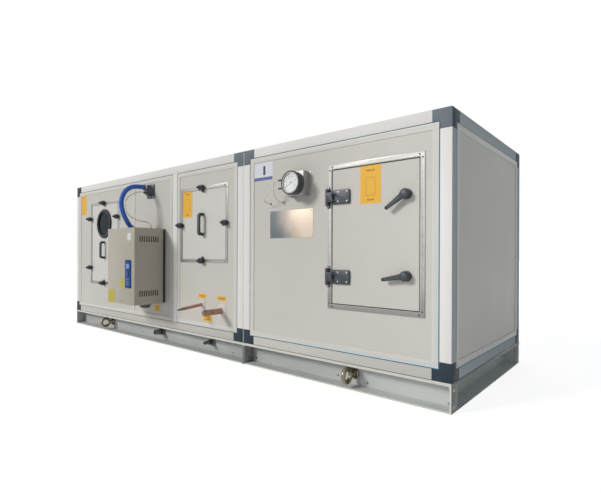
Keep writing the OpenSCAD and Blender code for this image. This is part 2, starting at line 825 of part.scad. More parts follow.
module coil_access_panel() color(panel_grey) on_front(coil_x, coil_z) slab(panel_t)
    rectangle(coil_access_w - 2 * fit, coil_access_h - 2 * fit);

module access_frames() color(aluminium) {
    on_front(fan_x, fan_z) linear_extrude(access_t) ring(fan_access_w, fan_access_h, trim_w);
    on_front(coil_x, coil_z) linear_extrude(access_t) ring(coil_access_w, coil_access_h, trim_w);
}

// Bow handle along local y, with chamfered corners
module bow_handle() {
    bar = 13;
    foot = 18;
    chamfer = 13;
    width = 20;
    half = handle_len / 2;
    translate([width / 2, 0, 0]) rotate([0, -90, 0]) linear_extrude(width) difference() {
        polygon([
            [0, -half], [handle_out - chamfer, -half], [handle_out, -half + chamfer],
            [handle_out, half - chamfer], [handle_out - chamfer, half], [0, half]]);
        polygon([
            [-1, -half + foot], [handle_out - bar - 8, -half + foot], [handle_out - bar, -half + foot + 8],
            [handle_out - bar, half - foot - 8], [handle_out - bar - 8, half - foot], [-1, half - foot]]);
    }
}

module access_handles() color(black) {
    on_front(fan_x, fan_z - handle_fall) bow_handle();
    on_front(coil_x, coil_z) bow_handle();
}

// Star knob with a tapered grip, on a clamp bar across the strip; local +y points to the panel's middle
module latch() {
    bar_l = 44;
    bar_w = 18;
    bar_t = 5;
    lobe_r = 8;
    lobe_out = 14;
    lobe_h = 15;
    grip_h = 24;
    foot_l = 10;
    star_z = access_t + bar_t + 3;
    translate([-bar_w / 2, -bar_l / 2 + 4, access_t]) cube([bar_w, bar_l, bar_t]);
    translate([-bar_w / 2, trim_w / 2 + 1, 0]) cube([bar_w, foot_l, access_t + eps]);
    translate([0, 0, access_t]) cylinder(r = lobe_r, h = star_z);
    translate([0, 0, star_z]) {
        linear_extrude(lobe_h) {
            circle(lobe_out + 1);
            for (a = [45:90:315]) rotate(a) translate([lobe_out, 0]) circle(lobe_r);
        }
        translate([0, 0, lobe_h - eps]) cylinder(r1 = lobe_out, r2 = 6, h = grip_h);
    }
}

// Latches around an opening: turn is the direction from the strip to the middle of the panel
module latch_at(x, y, turn) {
    translate([x, y, 0]) rotate(turn) latch();
}

module access_latches() color(black) {
    on_front(fan_x, fan_z) {
        reach_x = (fan_access_w + trim_w) / 2;
        reach_y = (fan_access_h + trim_w) / 2;
        latch_at(0, reach_y, 180);
        latch_at(0, -reach_y, 0);
        for (y = [-fan_latch_z, fan_latch_z]) {
            latch_at(-reach_x, y, -90);
            latch_at(reach_x, y, 90);
        }
    }
    on_front(coil_x, coil_z) {
        reach_x = (coil_access_w + trim_w) / 2;
        reach_y = (coil_access_h + trim_w) / 2;
        latch_at(0, reach_y, 180);
        latch_at(0, -reach_y, 0);
        latch_at(-reach_x, 0, -90);
        latch_at(reach_x, 0, 90);
    }
}

module porthole_ring() color(black) on_front(fan_x, fan_z + porthole_rise) rotate_extrude() polygon([
    [porthole_r - 26, 0], [porthole_r, 0], [porthole_r, 6], [porthole_r - 5, 11], [porthole_r - 20, 11],
    [porthole_r - 26, 6]]);

module porthole_glass() color([0.15, 0.18, 0.2, 0.6]) on_front(fan_x, fan_z + porthole_rise)
    translate([0, 0, -6]) cylinder(r = porthole_r - 20 - fit, h = 6);

// Pipes

// Sleeve of a pipe through the panel, as deep as the escutcheon
module pipe_sleeve(r) {
    translate([0, 0, -panel_t]) cylinder(r = r + pipe_collar, h = panel_t + escutcheon_h);
}

module coil_pipes() color(copper) {
    straight_len = liquid_len - pinch_len - escutcheon_h;
    on_front(liquid_x, liquid_z) {
        pipe_sleeve(liquid_r);
        translate([0, 0, escutcheon_h]) {
            sphere(liquid_r + pipe_collar);
            rotate([liquid_droop, 0, 0]) {
                cylinder(r = liquid_r + pipe_collar, h = bend_out);
                cylinder(r = liquid_r, h = straight_len);
                translate([0, 0, straight_len]) cylinder(r1 = liquid_r, r2 = liquid_r * 0.45, h = pinch_len);
            }
        }
    }
    on_front(suction_x, suction_z) {
        pipe_sleeve(suction_r);
        cylinder(r = suction_r, h = suction_len - cap_len);
        translate([0, 0, suction_len - cap_len]) rotate_extrude() polygon([
            [0, 0], [suction_r, 0], [suction_r, cap_len - 8],
            [suction_r - 2, cap_len - 3], [suction_r - 8, cap_len], [0, cap_len]]);
    }
}

// Ring around a pipe on the face, with a sloped outside
module escutcheon(pipe_r, plate_r) {
    rotate_extrude() polygon([
        [pipe_r + pipe_collar + fit, 0], [plate_r, 0], [plate_r, 2], [pipe_r + 6, escutcheon_h],
        [pipe_r + pipe_collar + fit, escutcheon_h]]);
}

module pipe_escutcheons() color(white) {
    on_front(liquid_x, liquid_z) escutcheon(liquid_r, 27.5);
    on_front(suction_x, suction_z) escutcheon(suction_r, 42.5);
}

// Humidifier

// Row of upright slots through a side of the cabinet
module slot_row() {
    for (i = [0:slot_count - 1]) translate([0, 0, (i - (slot_count - 1) / 2) * slot_pitch])
        cube([4 * sheet_t, slot_h, slot_w], center = true);
}

module humidifier_cabinet() color(beige) on_front(cabinet_x, cabinet_z) difference() {
    union() {
        translate([-cabinet_w / 2, 0, back_frame_d]) cube([cabinet_w, cabinet_h, cabinet_d - back_frame_d]);
        translate([steam_outlet_x, cabinet_h + outlet_rise, steam_outlet_out]) rotate([-45, 0, 0])
            translate([0, 0, -outlet_len]) cylinder(r = hose_d / 2 + 4, h = outlet_len);
        translate([condensate_x, cabinet_h - sheet_t, condensate_out]) rotate([-90, 0, 0])
            cylinder(r = condensate_d / 2 + 3, h = outlet_rise + sheet_t);
    }
    translate([-cabinet_w / 2 + sheet_t, sheet_t, back_frame_d + sheet_t])
        cube([cabinet_w - 2 * sheet_t, cabinet_h - 2 * sheet_t, cabinet_d - back_frame_d - 2 * sheet_t]);
    for (x = [-1, 1], y = [slot_margin, cabinet_h - slot_margin])
        translate([x * (cabinet_w / 2 - sheet_t / 2), y, (back_frame_d + cabinet_d) / 2]) slot_row();
}

module humidifier_back_frame() color(black) on_front(cabinet_x, cabinet_z)
    translate([-cabinet_w / 2 + sheet_t, sheet_t, 0])
        cube([cabinet_w - 2 * sheet_t, cabinet_h - 2 * sheet_t, back_frame_d]);

module humidifier_control_panel() color(hose_blue) {
    plate_t = 4;
    corner_r = 5;
    x = cabinet_x + cabinet_w / 2 - control_inset - control_w / 2;
    on_front(x, cabinet_z + control_sill + control_h / 2) translate([0, 0, cabinet_d])
        linear_extrude(plate_t) rounded_rectangle(control_w, control_h, corner_r);
}

module humidifier_drain_cup() color(black) {
    rim_h = 12;
    bowl_h = 18;
    on_front(cabinet_x + cabinet_w / 2 - cup_inset, cabinet_z)
        translate([0, 0, (back_frame_d + cabinet_d) / 2 - 25]) rotate([90, 0, 0]) rotate_extrude() polygon([
            [0, 0], [cup_r, 0], [cup_r, rim_h], [cup_r - 4, rim_h], [cup_r - 14, rim_h + bowl_h],
            [0, rim_h + bowl_h]]);
}

// Steam inlet: plate, tapered boss, steam stub above and condensate spigot below
module steam_inlet() color(black) on_front(inlet_x, inlet_z) {
    boss_h = 30;
    translate([0, 0, -panel_t]) cylinder(r = inlet_bore_r - 1, h = panel_t + inlet_plate_t / 2);
    linear_extrude(inlet_plate_t) rounded_rectangle(92, 98, 8);
    translate([0, 0, inlet_plate_t - eps]) cylinder(r1 = 37, r2 = 30, h = boss_h);
    translate([0, steam_stub_rise, inlet_plate_t]) cylinder(r = hose_d / 2 + 4, h = stub_len);
    translate([0, -condensate_stub_fall, inlet_plate_t]) cylinder(r = condensate_d / 2 + 3, h = stub_len);
}

// Hoses

function unit_vec(v) = v / norm(v);

// Direction of a route at point i
function heading(route, i) = unit_vec(
    route[min(i + 1, len(route) - 1)] - route[max(i - 1, 0)]);

// Points of a ring of n sides around point i of a route; side is a vector across the route
function route_ring(route, i, r, n, side) = let (
    t = heading(route, i),
    u = unit_vec(cross(t, side)),
    v = cross(t, u))
    [for (k = [0:n - 1]) route[i] + r * (cos(360 * k / n) * u + sin(360 * k / n) * v)];

// A route drawn over to new ends, each point by its share of the way along
function drawn_to(route, start, end) = [for (i = [0:len(route) - 1])
    let (s = i / (len(route) - 1))
    route[i] + (1 - s) * (start - route[0]) + s * (end - route[len(route) - 1])];

module tube(route, d, n, side) {
    count = len(route);
    points = [for (i = [0:count - 1]) each route_ring(route, i, d / 2, n, side)];
    start_cap = [for (k = [0:n - 1]) k];
    end_cap = [for (k = [n - 1:-1:0]) (count - 1) * n + k];
    walls = [
        for (i = [0:count - 2], k = [0:n - 1])
            let (a = i * n + k, b = i * n + (k + 1) % n)
            each [[a, a + n, b], [b, a + n, b + n]]];
    polyhedron(points, concat([start_cap, end_cap], walls));
}

module steam_hose() color(hose_blue)
    tube(drawn_to(steam_route, steam_start, steam_end), hose_d, 12, [1, 0, 0]);

module condensate_hose() color([0.85, 0.85, 0.82])
    tube(drawn_to(condensate_route, condensate_start, condensate_end), condensate_d, 8, [1, 0, 0]);

// Gauge

// Folded bracket: a plate for the gauge, two legs and a foot on the wall beside each leg
module gauge_bracket() color(aluminium) on_front(gauge_x, gauge_z) {
    sheet = 2;
    half = bracket_w / 2;
    rotate([90, 0, 0]) translate([0, 0, -bracket_h / 2]) linear_extrude(bracket_h) polygon([
        [-half - bracket_foot, 0], [-half, 0], [-half + sheet, 0], [-half + sheet, bracket_d - sheet],
        [half - sheet, bracket_d - sheet], [half - sheet, 0], [half + bracket_foot, 0],
        [half + bracket_foot, sheet], [half, sheet], [half, bracket_d], [-half, bracket_d], [-half, sheet],
        [-half - bracket_foot, sheet]]);
}

// Turned body with a rolled bezel, a recess for the dial and two side ports
module gauge_body() color(black) on_front(gauge_x, gauge_z) translate([0, 0, bracket_d]) {
    rotate_extrude() polygon([
        [0, 0], [gauge_r - 2, 0], [gauge_r - 2, gauge_d - 14], [gauge_r, gauge_d - 12], [gauge_r, gauge_d - 2],
        [gauge_r - 2, gauge_d], [gauge_r - 7, gauge_d], [gauge_r - 7, gauge_d - 8], [0, gauge_d - 8]]);
    for (y = [upper_port, lower_port]) translate([-gauge_r + 12, y, port_out]) rotate([0, -90, 0])
        cylinder(r = 5, h = port_len);
}

module gauge_dial() color([0.95, 0.95, 0.93]) on_front(gauge_x, gauge_z)
    translate([0, 0, bracket_d + gauge_d - 8]) cylinder(r = gauge_r - 7 - fit, h = 2);

module gauge_lens() color([0.9, 0.95, 1, 0.3]) on_front(gauge_x, gauge_z)
    translate([0, 0, bracket_d + gauge_d - 4]) cylinder(r = gauge_r - 7 - fit, h = 2);

module gauge_tube_upper() color([0.9, 0.9, 0.9])
    tube(drawn_to(upper_tube_route, upper_tube_start, upper_tube_end), tube_d, 8, [0, 0, 1]);

module gauge_tube_lower() color([0.9, 0.9, 0.9])
    tube(drawn_to(lower_tube_route, lower_tube_start, lower_tube_end), tube_d, 8, [0, 0, 1]);

module gauge_wall_fittings() color(aluminium)
    for (p = [upper_fitting, lower_fitting])
        on_front(gauge_x + p[0], gauge_z + p[1]) cylinder(r = fitting_r, h = fitting_t);

base_side_channels();
base_end_channels();
base_end_plates();
front_lifting_eyes();
back_lifting_eyes();
drain_stubs();
corner_posts();
long_rails();
cross_rails();
corner_blocks();
mullions();
panel_beads();
section_gasket();
fan_front_panel();
middle_front_panel();
coil_front_panel();
right_front_panel();
back_panels();
left_end_panel();
right_end_panel();
roof_panels();
floor_panels();
supply_collar();
return_collar();
door_frame();
door_stop();
door_leaf();
hinge_frame_leaves();
hinge_door_leaves();
lever_rosettes();
upper_lever();
lower_lever();
fan_access_panel();
coil_access_panel();
access_frames();
access_handles();
access_latches();
porthole_ring();
porthole_glass();
coil_pipes();
pipe_escutcheons();
humidifier_cabinet();
humidifier_back_frame();
humidifier_control_panel();
humidifier_drain_cup();
steam_inlet();
steam_hose();
condensate_hose();
gauge_bracket();
gauge_body();
gauge_dial();
gauge_lens();
gauge_tube_upper();
gauge_tube_lower();
gauge_wall_fittings();
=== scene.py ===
"""Looks of the air handling unit: finishes, hoses, labels, fasteners and the studio around it."""

import json
import math

import bpy
from bpy.props import FloatProperty, FloatVectorProperty, PointerProperty
from mathutils import Matrix, Vector


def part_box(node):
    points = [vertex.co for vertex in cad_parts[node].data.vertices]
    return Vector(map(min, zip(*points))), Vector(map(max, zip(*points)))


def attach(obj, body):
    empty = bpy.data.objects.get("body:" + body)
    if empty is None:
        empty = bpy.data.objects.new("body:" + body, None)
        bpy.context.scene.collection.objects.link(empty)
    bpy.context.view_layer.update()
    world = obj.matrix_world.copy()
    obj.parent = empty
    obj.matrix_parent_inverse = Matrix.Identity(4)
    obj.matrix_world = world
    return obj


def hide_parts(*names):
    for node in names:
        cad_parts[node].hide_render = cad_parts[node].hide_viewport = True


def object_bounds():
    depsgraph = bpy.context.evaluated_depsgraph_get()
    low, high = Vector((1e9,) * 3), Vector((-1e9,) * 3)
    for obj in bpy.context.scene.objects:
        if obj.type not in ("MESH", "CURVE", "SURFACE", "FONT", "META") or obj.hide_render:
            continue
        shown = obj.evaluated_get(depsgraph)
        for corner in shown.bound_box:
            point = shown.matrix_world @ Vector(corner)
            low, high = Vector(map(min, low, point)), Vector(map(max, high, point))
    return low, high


bl_info = {
    "name": "Air Handling Unit",
    "version": (1, 0, 0),
    "blender": (4, 5, 0),
    "location": "View3D > Sidebar > Air Unit",
    "description": "Finishes and small parts of a panelled air handling unit",
    "category": "Object",
}

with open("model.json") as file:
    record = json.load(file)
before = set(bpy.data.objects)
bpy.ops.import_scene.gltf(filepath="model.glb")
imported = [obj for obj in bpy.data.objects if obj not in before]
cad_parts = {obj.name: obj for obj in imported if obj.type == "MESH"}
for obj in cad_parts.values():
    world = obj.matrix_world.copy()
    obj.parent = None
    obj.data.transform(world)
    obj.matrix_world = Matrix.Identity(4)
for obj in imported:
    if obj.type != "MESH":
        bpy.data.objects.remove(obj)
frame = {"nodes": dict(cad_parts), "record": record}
CAD_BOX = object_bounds()
NODES = frame["nodes"]
BODY_OF = {node: body for body, nodes in frame["record"]["behaviour"]["bodies"].items() for node in nodes}
IMAGE_W = 601

FRONT, BACK = Vector((0, -1, 0)), Vector((0, 1, 0))
LEFT, RIGHT = Vector((-1, 0, 0)), Vector((1, 0, 0))
UP = Vector((0, 0, 1))

# Faces of the casing that the small parts sit on
PANEL_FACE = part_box("right_front_panel")[0].y
BEAD_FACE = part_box("panel_beads")[0].y
BEAD_PROUD = PANEL_FACE - BEAD_FACE
STRIP_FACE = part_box("door_frame")[0].y
CABINET_LOW, CABINET_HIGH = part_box("humidifier_cabinet")
CORNER_LOW, CORNER_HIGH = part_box("corner_blocks")
JOINT_X = (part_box("coil_front_panel")[1].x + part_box("right_front_panel")[0].x) / 2

# Routes of the hoses, as in the part's own design, in metres
STEAM_ROUTE = [
    (-0.505, -0.668, 0.813), (-0.505, -0.683, 0.828), (-0.503, -0.702, 0.854), (-0.501, -0.721, 0.886),
    (-0.499, -0.736, 0.922), (-0.497, -0.745, 0.960), (-0.494, -0.746, 0.998), (-0.491, -0.736, 1.034),
    (-0.488, -0.714, 1.066), (-0.485, -0.684, 1.088), (-0.482, -0.650, 1.098), (-0.480, -0.618, 1.100),
    (-0.480, -0.592, 1.100)]
CONDENSATE_ROUTE = [
    (-0.480, -0.592, 1.064), (-0.480, -0.622, 1.064), (-0.477, -0.668, 1.046), (-0.473, -0.708, 1.020),
    (-0.468, -0.728, 0.987), (-0.462, -0.735, 0.949), (-0.456, -0.731, 0.915), (-0.450, -0.709, 0.887),
    (-0.444, -0.680, 0.868), (-0.438, -0.640, 0.856), (-0.432, -0.602, 0.852), (-0.427, -0.578, 0.843),
    (-0.425, -0.564, 0.827), (-0.425, -0.564, 0.813)]
UPPER_TUBE_ROUTE = [
    (0.832, -0.600, 1.006), (0.815, -0.600, 1.006), (0.797, -0.600, 0.991), (0.787, -0.591, 0.961),
    (0.787, -0.581, 0.932), (0.793, -0.569, 0.913), (0.799, -0.559, 0.905), (0.800, -0.550, 0.904),
    (0.800, -0.538, 0.904)]
LOWER_TUBE_ROUTE = [
    (0.832, -0.600, 0.964), (0.814, -0.600, 0.964), (0.782, -0.605, 0.956), (0.748, -0.603, 0.940),
    (0.722, -0.593, 0.922), (0.712, -0.577, 0.910), (0.710, -0.562, 0.905), (0.710, -0.550, 0.904),
    (0.710, -0.538, 0.904)]

# Finishes by key, filled in by main
FINISHES = {}


def rgb(red, green, blue):
    """A screen colour of 0 to 255 as linear light."""
    def linear(value):
        share = value / 255
        if share <= 0.04045:
            return share / 12.92
        return ((share + 0.055) / 1.055) ** 2.4
    return linear(red), linear(green), linear(blue)


def colour_prop(name, description, red, green, blue):
    return FloatVectorProperty(
        name=name, description=description, subtype="COLOR", size=3, min=0, max=1,
        default=rgb(red, green, blue))


def length_prop(name, description, metres):
    return FloatProperty(
        name=name, description=description, default=metres, min=0, unit="LENGTH", precision=4)


class UnitColours(bpy.types.PropertyGroup):
    """Colours of the painted, moulded and printed surfaces."""

    panel: colour_prop("Panels", "Coated sheet of the panels and the door", 214, 211, 204)
    profile: colour_prop("Profiles", "White coating of the frame", 244, 242, 239)
    hatch: colour_prop("Access panels", "Coated sheet of the lift-off panels", 224, 222, 217)
    # The next two colours are painted shade: one darkens the lowest rails, and a bluish one darkens the
    # faces at the frame's right end
    foot: colour_prop("Foot rails", "Dusty coating of the lowest rails", 207, 205, 199)
    wrap: colour_prop("Wrapped ends", "Bluish film left on the right end of the frame", 199, 208, 211)
    bead: colour_prop("Beads", "Coating of the bead around each field", 222, 220, 215)
    # Base colours with painted light and shade: the web tone is painted shade in the channels, the right
    # tone is painted light towards the right end, and the edge tone is a painted highlight on the outer
    # edges
    base: colour_prop("Base", "Dusty paint inside the steel channels", 186, 189, 188)
    base_clean: colour_prop("Base, right", "Cleaner paint towards the right end", 208, 211, 208)
    base_edge: colour_prop("Base edges", "Clean paint on the outer edges of the channels", 226, 226, 219)
    corner: colour_prop("Corners", "Moulded corner blocks", 54, 66, 76)
    # Painted highlight: paler sides of the upper corner blocks, high up and to the right
    corner_top: colour_prop("Corners, top", "Faded sides of the upper corner blocks", 118, 126, 134)
    black: colour_prop("Hardware", "Moulded hinges, levers, handles and knobs", 54, 61, 69)
    rubber: colour_prop("Rubber", "Seals", 30, 31, 33)
    gasket: colour_prop("Gasket", "Foam strip between the sections", 225, 226, 224)
    strip: colour_prop("Strips", "Bright strips around the openings", 164, 163, 161)
    bracket: colour_prop("Bracket", "Bare sheet of the gauge bracket", 156, 155, 152)
    zinc: colour_prop("Zinc", "Plated steel", 196, 196, 192)
    chromate: colour_prop("Chromate", "Dulled plating of the lifting eyes", 136, 126, 108)
    drain: colour_prop("Drains", "Weathered steel of the drain stubs", 122, 118, 112)
    steel: colour_prop("Screws", "Bright steel fasteners", 176, 176, 178)
    plate: colour_prop("Plate", "Brushed stainless plate", 108, 116, 122)
    plate_warm: colour_prop("Plate, warm end", "Warm light caught by the plate", 232, 214, 194)
    copper: colour_prop("Copper", "Dull pipe", 176, 132, 119)
    tarnish: colour_prop("Tarnish", "Darkened parts of the pipe", 112, 98, 84)
    cabinet: colour_prop("Cabinet", "Powder coat of the humidifier", 182, 176, 161)
    ring: colour_prop("Porthole", "Moulded ring of the porthole", 36, 44, 52)
    dark: colour_prop("Back frame", "Dark coat behind the humidifier", 52, 58, 58)
    keypad: colour_prop("Keypad", "Blue film on the humidifier", 26, 72, 146)
    hose: colour_prop("Steam hose", "Blue silicone", 37, 95, 194)
    tube: colour_prop("Thin tubes", "Milky clear tube", 240, 234, 224)
    film: colour_prop("Film", "Blue protective film along the beads", 205, 224, 232)
    teal: colour_prop("Film edge", "Edge of that film beside the beads", 52, 104, 132)
    groove: colour_prop("Groove", "Dark seal beside the beads", 84, 88, 100)
    label: colour_prop("Label", "Yellow paper", 242, 184, 44)
    lemon: colour_prop("Patch", "Pale yellow patches of the humidifier", 190, 175, 56)
    ink: colour_prop("Ink", "Print on the yellow paper", 178, 118, 28)
    card: colour_prop("Card", "White paper", 224, 225, 234)
    band: colour_prop("Band", "Blue band on the white paper", 92, 98, 150)
    display: colour_prop("Display", "Lit window of the keypad", 112, 146, 200)
    button: colour_prop("Button", "Dark button of the keypad", 18, 32, 58)


class UnitSizes(bpy.types.PropertyGroup):
    """Sizes of the small parts."""

    screw: length_prop("Screw", "Radius of a screw head", 0.0042)
    bolt: length_prop("Bolt", "Radius of a bolt head on the base", 0.0070)
    rivet: length_prop("Rivet", "Radius of a rivet on the plate", 0.0040)
    seal: length_prop("Seal", "Width of the seal beside a bead", 0.0040)
    film: length_prop("Film", "Width of the film left on a bead", 0.0050)
    rib: length_prop("Rib", "Height of a rib on the bright strips", 0.0006)
    paper: length_prop("Paper", "Thickness of a label", 0.0004)
    eye_coat: length_prop("Eye coat", "Plating and wear on the lifting eyes", 0.0020)


def sizes():
    return bpy.context.scene.unit_sizes


class Term:
    """A shader socket that can be used in sums."""

    def __init__(self, graph, socket):
        self.graph = graph
        self.socket = socket

    def maths(self, operation, first, second):
        return self.graph.node("Math", {"operation": operation}, {0: first, 1: second})

    def __add__(self, other):
        return self.maths("ADD", self, other)

    def __sub__(self, other):
        return self.maths("SUBTRACT", self, other)

    def __rsub__(self, other):
        return self.maths("SUBTRACT", other, self)

    def __mul__(self, other):
        return self.maths("MULTIPLY", self, other)

    def __gt__(self, other):
        return self.maths("GREATER_THAN", self, other)

    # A number may stand on either side of a sum or a product
    __radd__ = __add__
    __rmul__ = __mul__

    def step(self, start, end):
        """Rises smoothly from 0 at start to 1 at end."""
        return self.graph.node(
            "MapRange", {"interpolation_type": "SMOOTHSTEP"}, {0: self, 1: start, 2: end, 3: 0.0, 4: 1.0})

    def beyond(self, start, end):
        """Rises smoothly from 0 at start to 1 at end, on both sides of zero."""
        return (self * self).step(start ** 2, end ** 2)

    def spread(self, middle, span):
        """A pattern of 0 to 1 as values about a middle."""
        return self * span + (middle - span / 2)


class Graph:
    """A node tree that is built from terms."""

    def __init__(self, owner):
        owner.use_nodes = True
        self.tree = owner.node_tree
        self.tree.nodes.clear()

    def node(self, kind, settings=None, inputs=None, output=0):
        """Adds a node, sets it up, feeds its sockets and hands back one of its outputs, if it has any."""
        made = self.tree.nodes.new("ShaderNode" + kind)
        for key, value in (settings or {}).items():
            setattr(made, key, value)
        for key, value in (inputs or {}).items():
            self.feed(made.inputs[key], value)
        return Term(self, made.outputs[output]) if made.outputs else None

    def feed(self, socket, value):
        if isinstance(value, Term):
            self.tree.links.new(value.socket, socket)
        elif socket.type == "RGBA" and len(value) == 3:
            socket.default_value = (*value, 1)
        else:
            socket.default_value = value

    def seen(self):
        """1 for what is seen straight, in a reflection or through glass, and 0 for light on the object."""
        camera, glossy, through = (
            self.node("LightPath", output=f"Is {kind} Ray") for kind in ("Camera", "Glossy", "Transmission"))
        return camera + glossy + through > 0.5


class Finish(Graph):
    """A material under construction: one Principled shader and what feeds it."""

    def __init__(self, name, **constants):
        self.material = bpy.data.materials.new(name)
        super().__init__(self.material)
        inputs = {socket.replace("_", " "): value for socket, value in constants.items()}
        self.surface = self.node("BsdfPrincipled", {}, inputs)
        self.shader = self.surface.socket.node
        self.place = self.node("TexCoord", output="Object")

    def show(self, surface):
        """Sends a shader to the output and hands back the material."""
        self.node("OutputMaterial", {}, {0: surface})
        return self.material

    def made(self, colour, rough, relief=None, depth=0.0):
        """Feeds colour, roughness and a relief of the given depth in metres, and hands back the material."""
        self.feed(self.shader.inputs["Base Color"], colour)
        self.feed(self.shader.inputs["Roughness"], rough)
        if relief is not None:
            bump = self.node("Bump", {}, {"Distance": depth, "Height": relief})
            self.feed(self.shader.inputs["Normal"], bump)
        return self.show(self.surface)

    def noise(self, scale, detail=2.0, stretch=(1, 1, 1)):
        """Cloudy pattern of about 0.3 to 0.7; scale is in patches a metre, times stretch on each axis."""
        place = self.place
        if stretch != (1, 1, 1):
            place = self.node("VectorMath", {"operation": "MULTIPLY"}, {0: place, 1: stretch})
        return self.node("TexNoise", {}, {"Vector": place, "Scale": scale, "Detail": detail})

    def cloud(self):
        """Slow drift along a coated sheet."""
        return self.noise(1.3, 3.0).step(0.3, 0.7)

    def smears(self, rough):
        """Roughness of a coated sheet, smeared up and down."""
        return self.noise(7.0, 4.0, (1, 1, 0.3)).spread(rough, 0.16)

    def mix(self, share, first, second):
        """A colour between two."""
        return self.node("Mix", {"data_type": "RGBA"}, {0: share, 6: first, 7: second}, output=2)

    def tones(self, share, colour, low, high):
        """A colour between a darker and a lighter tone of itself."""
        return self.mix(share, lighter(colour, low), lighter(colour, high))

    def axis(self, index):
        """One coordinate of the place, in metres."""
        return self.node("SeparateXYZ", {}, {0: self.place}, output=index)


def lighter(colour, factor):
    return tuple(min(1.0, channel * factor) for channel in colour)


def painted(name, colour, rough, peel=320.0, depth=0.0001, drift=0.03, shine=0.5):
    """Coated sheet: slow drift of tone, faint smears in the gloss and an orange peel."""
    finish = Finish(name, Specular_IOR_Level=shine)
    tone = finish.tones(finish.cloud(), colour, 1 - drift, 1 + drift)
    return finish.made(tone, finish.smears(rough), finish.noise(peel), depth)


def frame_coat(name, colour, foot, film, rough):
    """Coated frame, darker at the foot with painted shade that a noise breaks up, and with a bluish painted
    shade on the faces at its right end.
    """
    finish = Finish(name, Specular_IOR_Level=0.0)
    rail_top = CORNER_LOW.z + 0.05
    # Painted shade on the lowest rails, broken up by a noise
    dust_and_shade = (1 - finish.axis(2).step(rail_top, rail_top + 0.01)) * (1.1 - finish.noise(3.0, 4.0) * 0.4)
    coat = finish.mix(dust_and_shade, finish.tones(finish.cloud(), colour, 0.98, 1.02), foot)
    # Painted shade, bluish, on the faces at the right end of the frame
    end_face = CAD_BOX[1].x
    shaded_end_faces = finish.axis(0).step(end_face - 0.0014, end_face - 0.0006)
    return finish.made(finish.mix(shaded_end_faces, coat, film), finish.smears(rough), finish.noise(320.0), 0.0001)


def channel_paint(name, web, lit_web, edge, rough):
    """Paint of the base: a dusty noise over painted shade in the channels, painted light rising towards the
    right, a painted highlight on the outer edges and painted shade on the end plates.
    """
    finish = Finish(name, Specular_IOR_Level=0.1)
    x, y, z = (finish.axis(i) for i in range(3))
    rim_x, rim_y, plate_top = CORNER_HIGH.x, CORNER_HIGH.y, 0.102
    # Painted shade on the joint and end plates, and a painted highlight on the outer edges
    plates = (1 - (x - JOINT_X).beyond(0.012, 0.016)) * (1 - z.step(plate_top, plate_top + 0.004))
    ends = x.beyond(rim_x - 0.0012, rim_x - 0.0004)
    edges = y.beyond(rim_y - 0.005, rim_y - 0.002) * (1 - plates) * (1 - ends)
    dust_and_shade = finish.noise(9.0, 4.0, (0.4, 1, 1)).step(0.35, 0.7)
    left, right = (finish.tones(dust_and_shade, colour, 0.95, 1.06) for colour in (web, lit_web))
    # Painted light rising towards the right along the web
    web_shade_to_light = finish.mix(x.step(0.7, 1.5), left, right)
    plate_shade = (plates + ends).step(0.0, 1.0)
    tone = finish.mix(plate_shade, finish.mix(edges, web_shade_to_light, edge), lighter(web, 0.62))
    return finish.made(tone, dust_and_shade * 0.2 + (rough - 0.05), finish.noise(180.0), 0.0003)


def moulded(name, colour, rough, shine=0.5, painted_sheen=None):
    """Moulded plastic: a fine grain, paler worn patches and, where given, a painted highlight on its sides
    high up, to the right.
    """
    finish = Finish(name, IOR=1.5, Specular_IOR_Level=shine)
    tone = finish.tones(finish.noise(24.0, 4.0).step(0.52, 0.78), colour, 1.0, 1.35)
    # Painted highlight on the front and back sides, high up and to the right
    if painted_sheen:
        sides = finish.axis(1).beyond(CORNER_HIGH.y - 0.004, CORNER_HIGH.y - 0.001)
        high = finish.axis(2).step(0.4, 0.9) * finish.axis(0).step(-0.8, 0.4)
        tone = finish.mix(sides * high, tone, painted_sheen)
    return finish.made(tone, finish.noise(60.0, 3.0).spread(rough, 0.2), finish.noise(900.0, 1.0), 0.00012)


def satin_metal(name, colour, rough):
    """Bright sheet with a fine grain, and painted shade at the foot of the door."""
    finish = Finish(name, Metallic=0.6)
    grain = finish.noise(90.0, 3.0)
    share = (grain * 0.6 + finish.noise(5.0) * 0.4).step(0.3, 0.7)
    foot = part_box("door_frame")[0].z
    # Painted shade on the strips at the foot of the door
    rise = finish.axis(2).step(foot + 0.03, foot + 0.15)
    tone = finish.mix(rise, lighter(colour, 0.72), finish.tones(share, colour, 0.9, 1.1))
    return finish.made(tone, grain.spread(rough, 0.22), grain, 0.00006)


def plated(name, colour, rough, metal=1.0, contrast=0.14):
    """Plated or weathered steel: a cloudy spangle."""
    finish = Finish(name, Metallic=metal)
    spangle = finish.noise(45.0, 3.0).step(0.3, 0.7)
    tone = finish.tones(spangle, colour, 1 - contrast, 1 + contrast / 2)
    return finish.made(tone, spangle.spread(rough, 0.12), finish.noise(160.0), 0.00002)


def dull_copper(name, colour, tarnish):
    """Copper that has gone dull, with darker clouds and a browned tip."""
    finish = Finish(name, Metallic=0.6)
    brown_from, brown_to = -0.62, -0.69
    tip = finish.axis(1).step(brown_from, brown_to)
    clouds = finish.noise(38.0, 4.0).step(0.42, 0.68)
    tone = finish.mix((clouds * 0.6 + tip * 0.55).step(0.0, 1.0), colour, tarnish)
    return finish.made(tone, clouds * 0.2 + 0.34, finish.noise(120.0, 3.0), 0.0002)


def rubbery(name, colour, rough, alpha=1.0):
    """Silicone, rubber or foam: a soft skin."""
    finish = Finish(name, Alpha=alpha)
    skin = finish.noise(70.0, 3.0).step(0.3, 0.7)
    return finish.made(
        finish.tones(skin, colour, 0.9, 1.1), skin.spread(rough, 0.14), finish.noise(420.0), 0.00012)


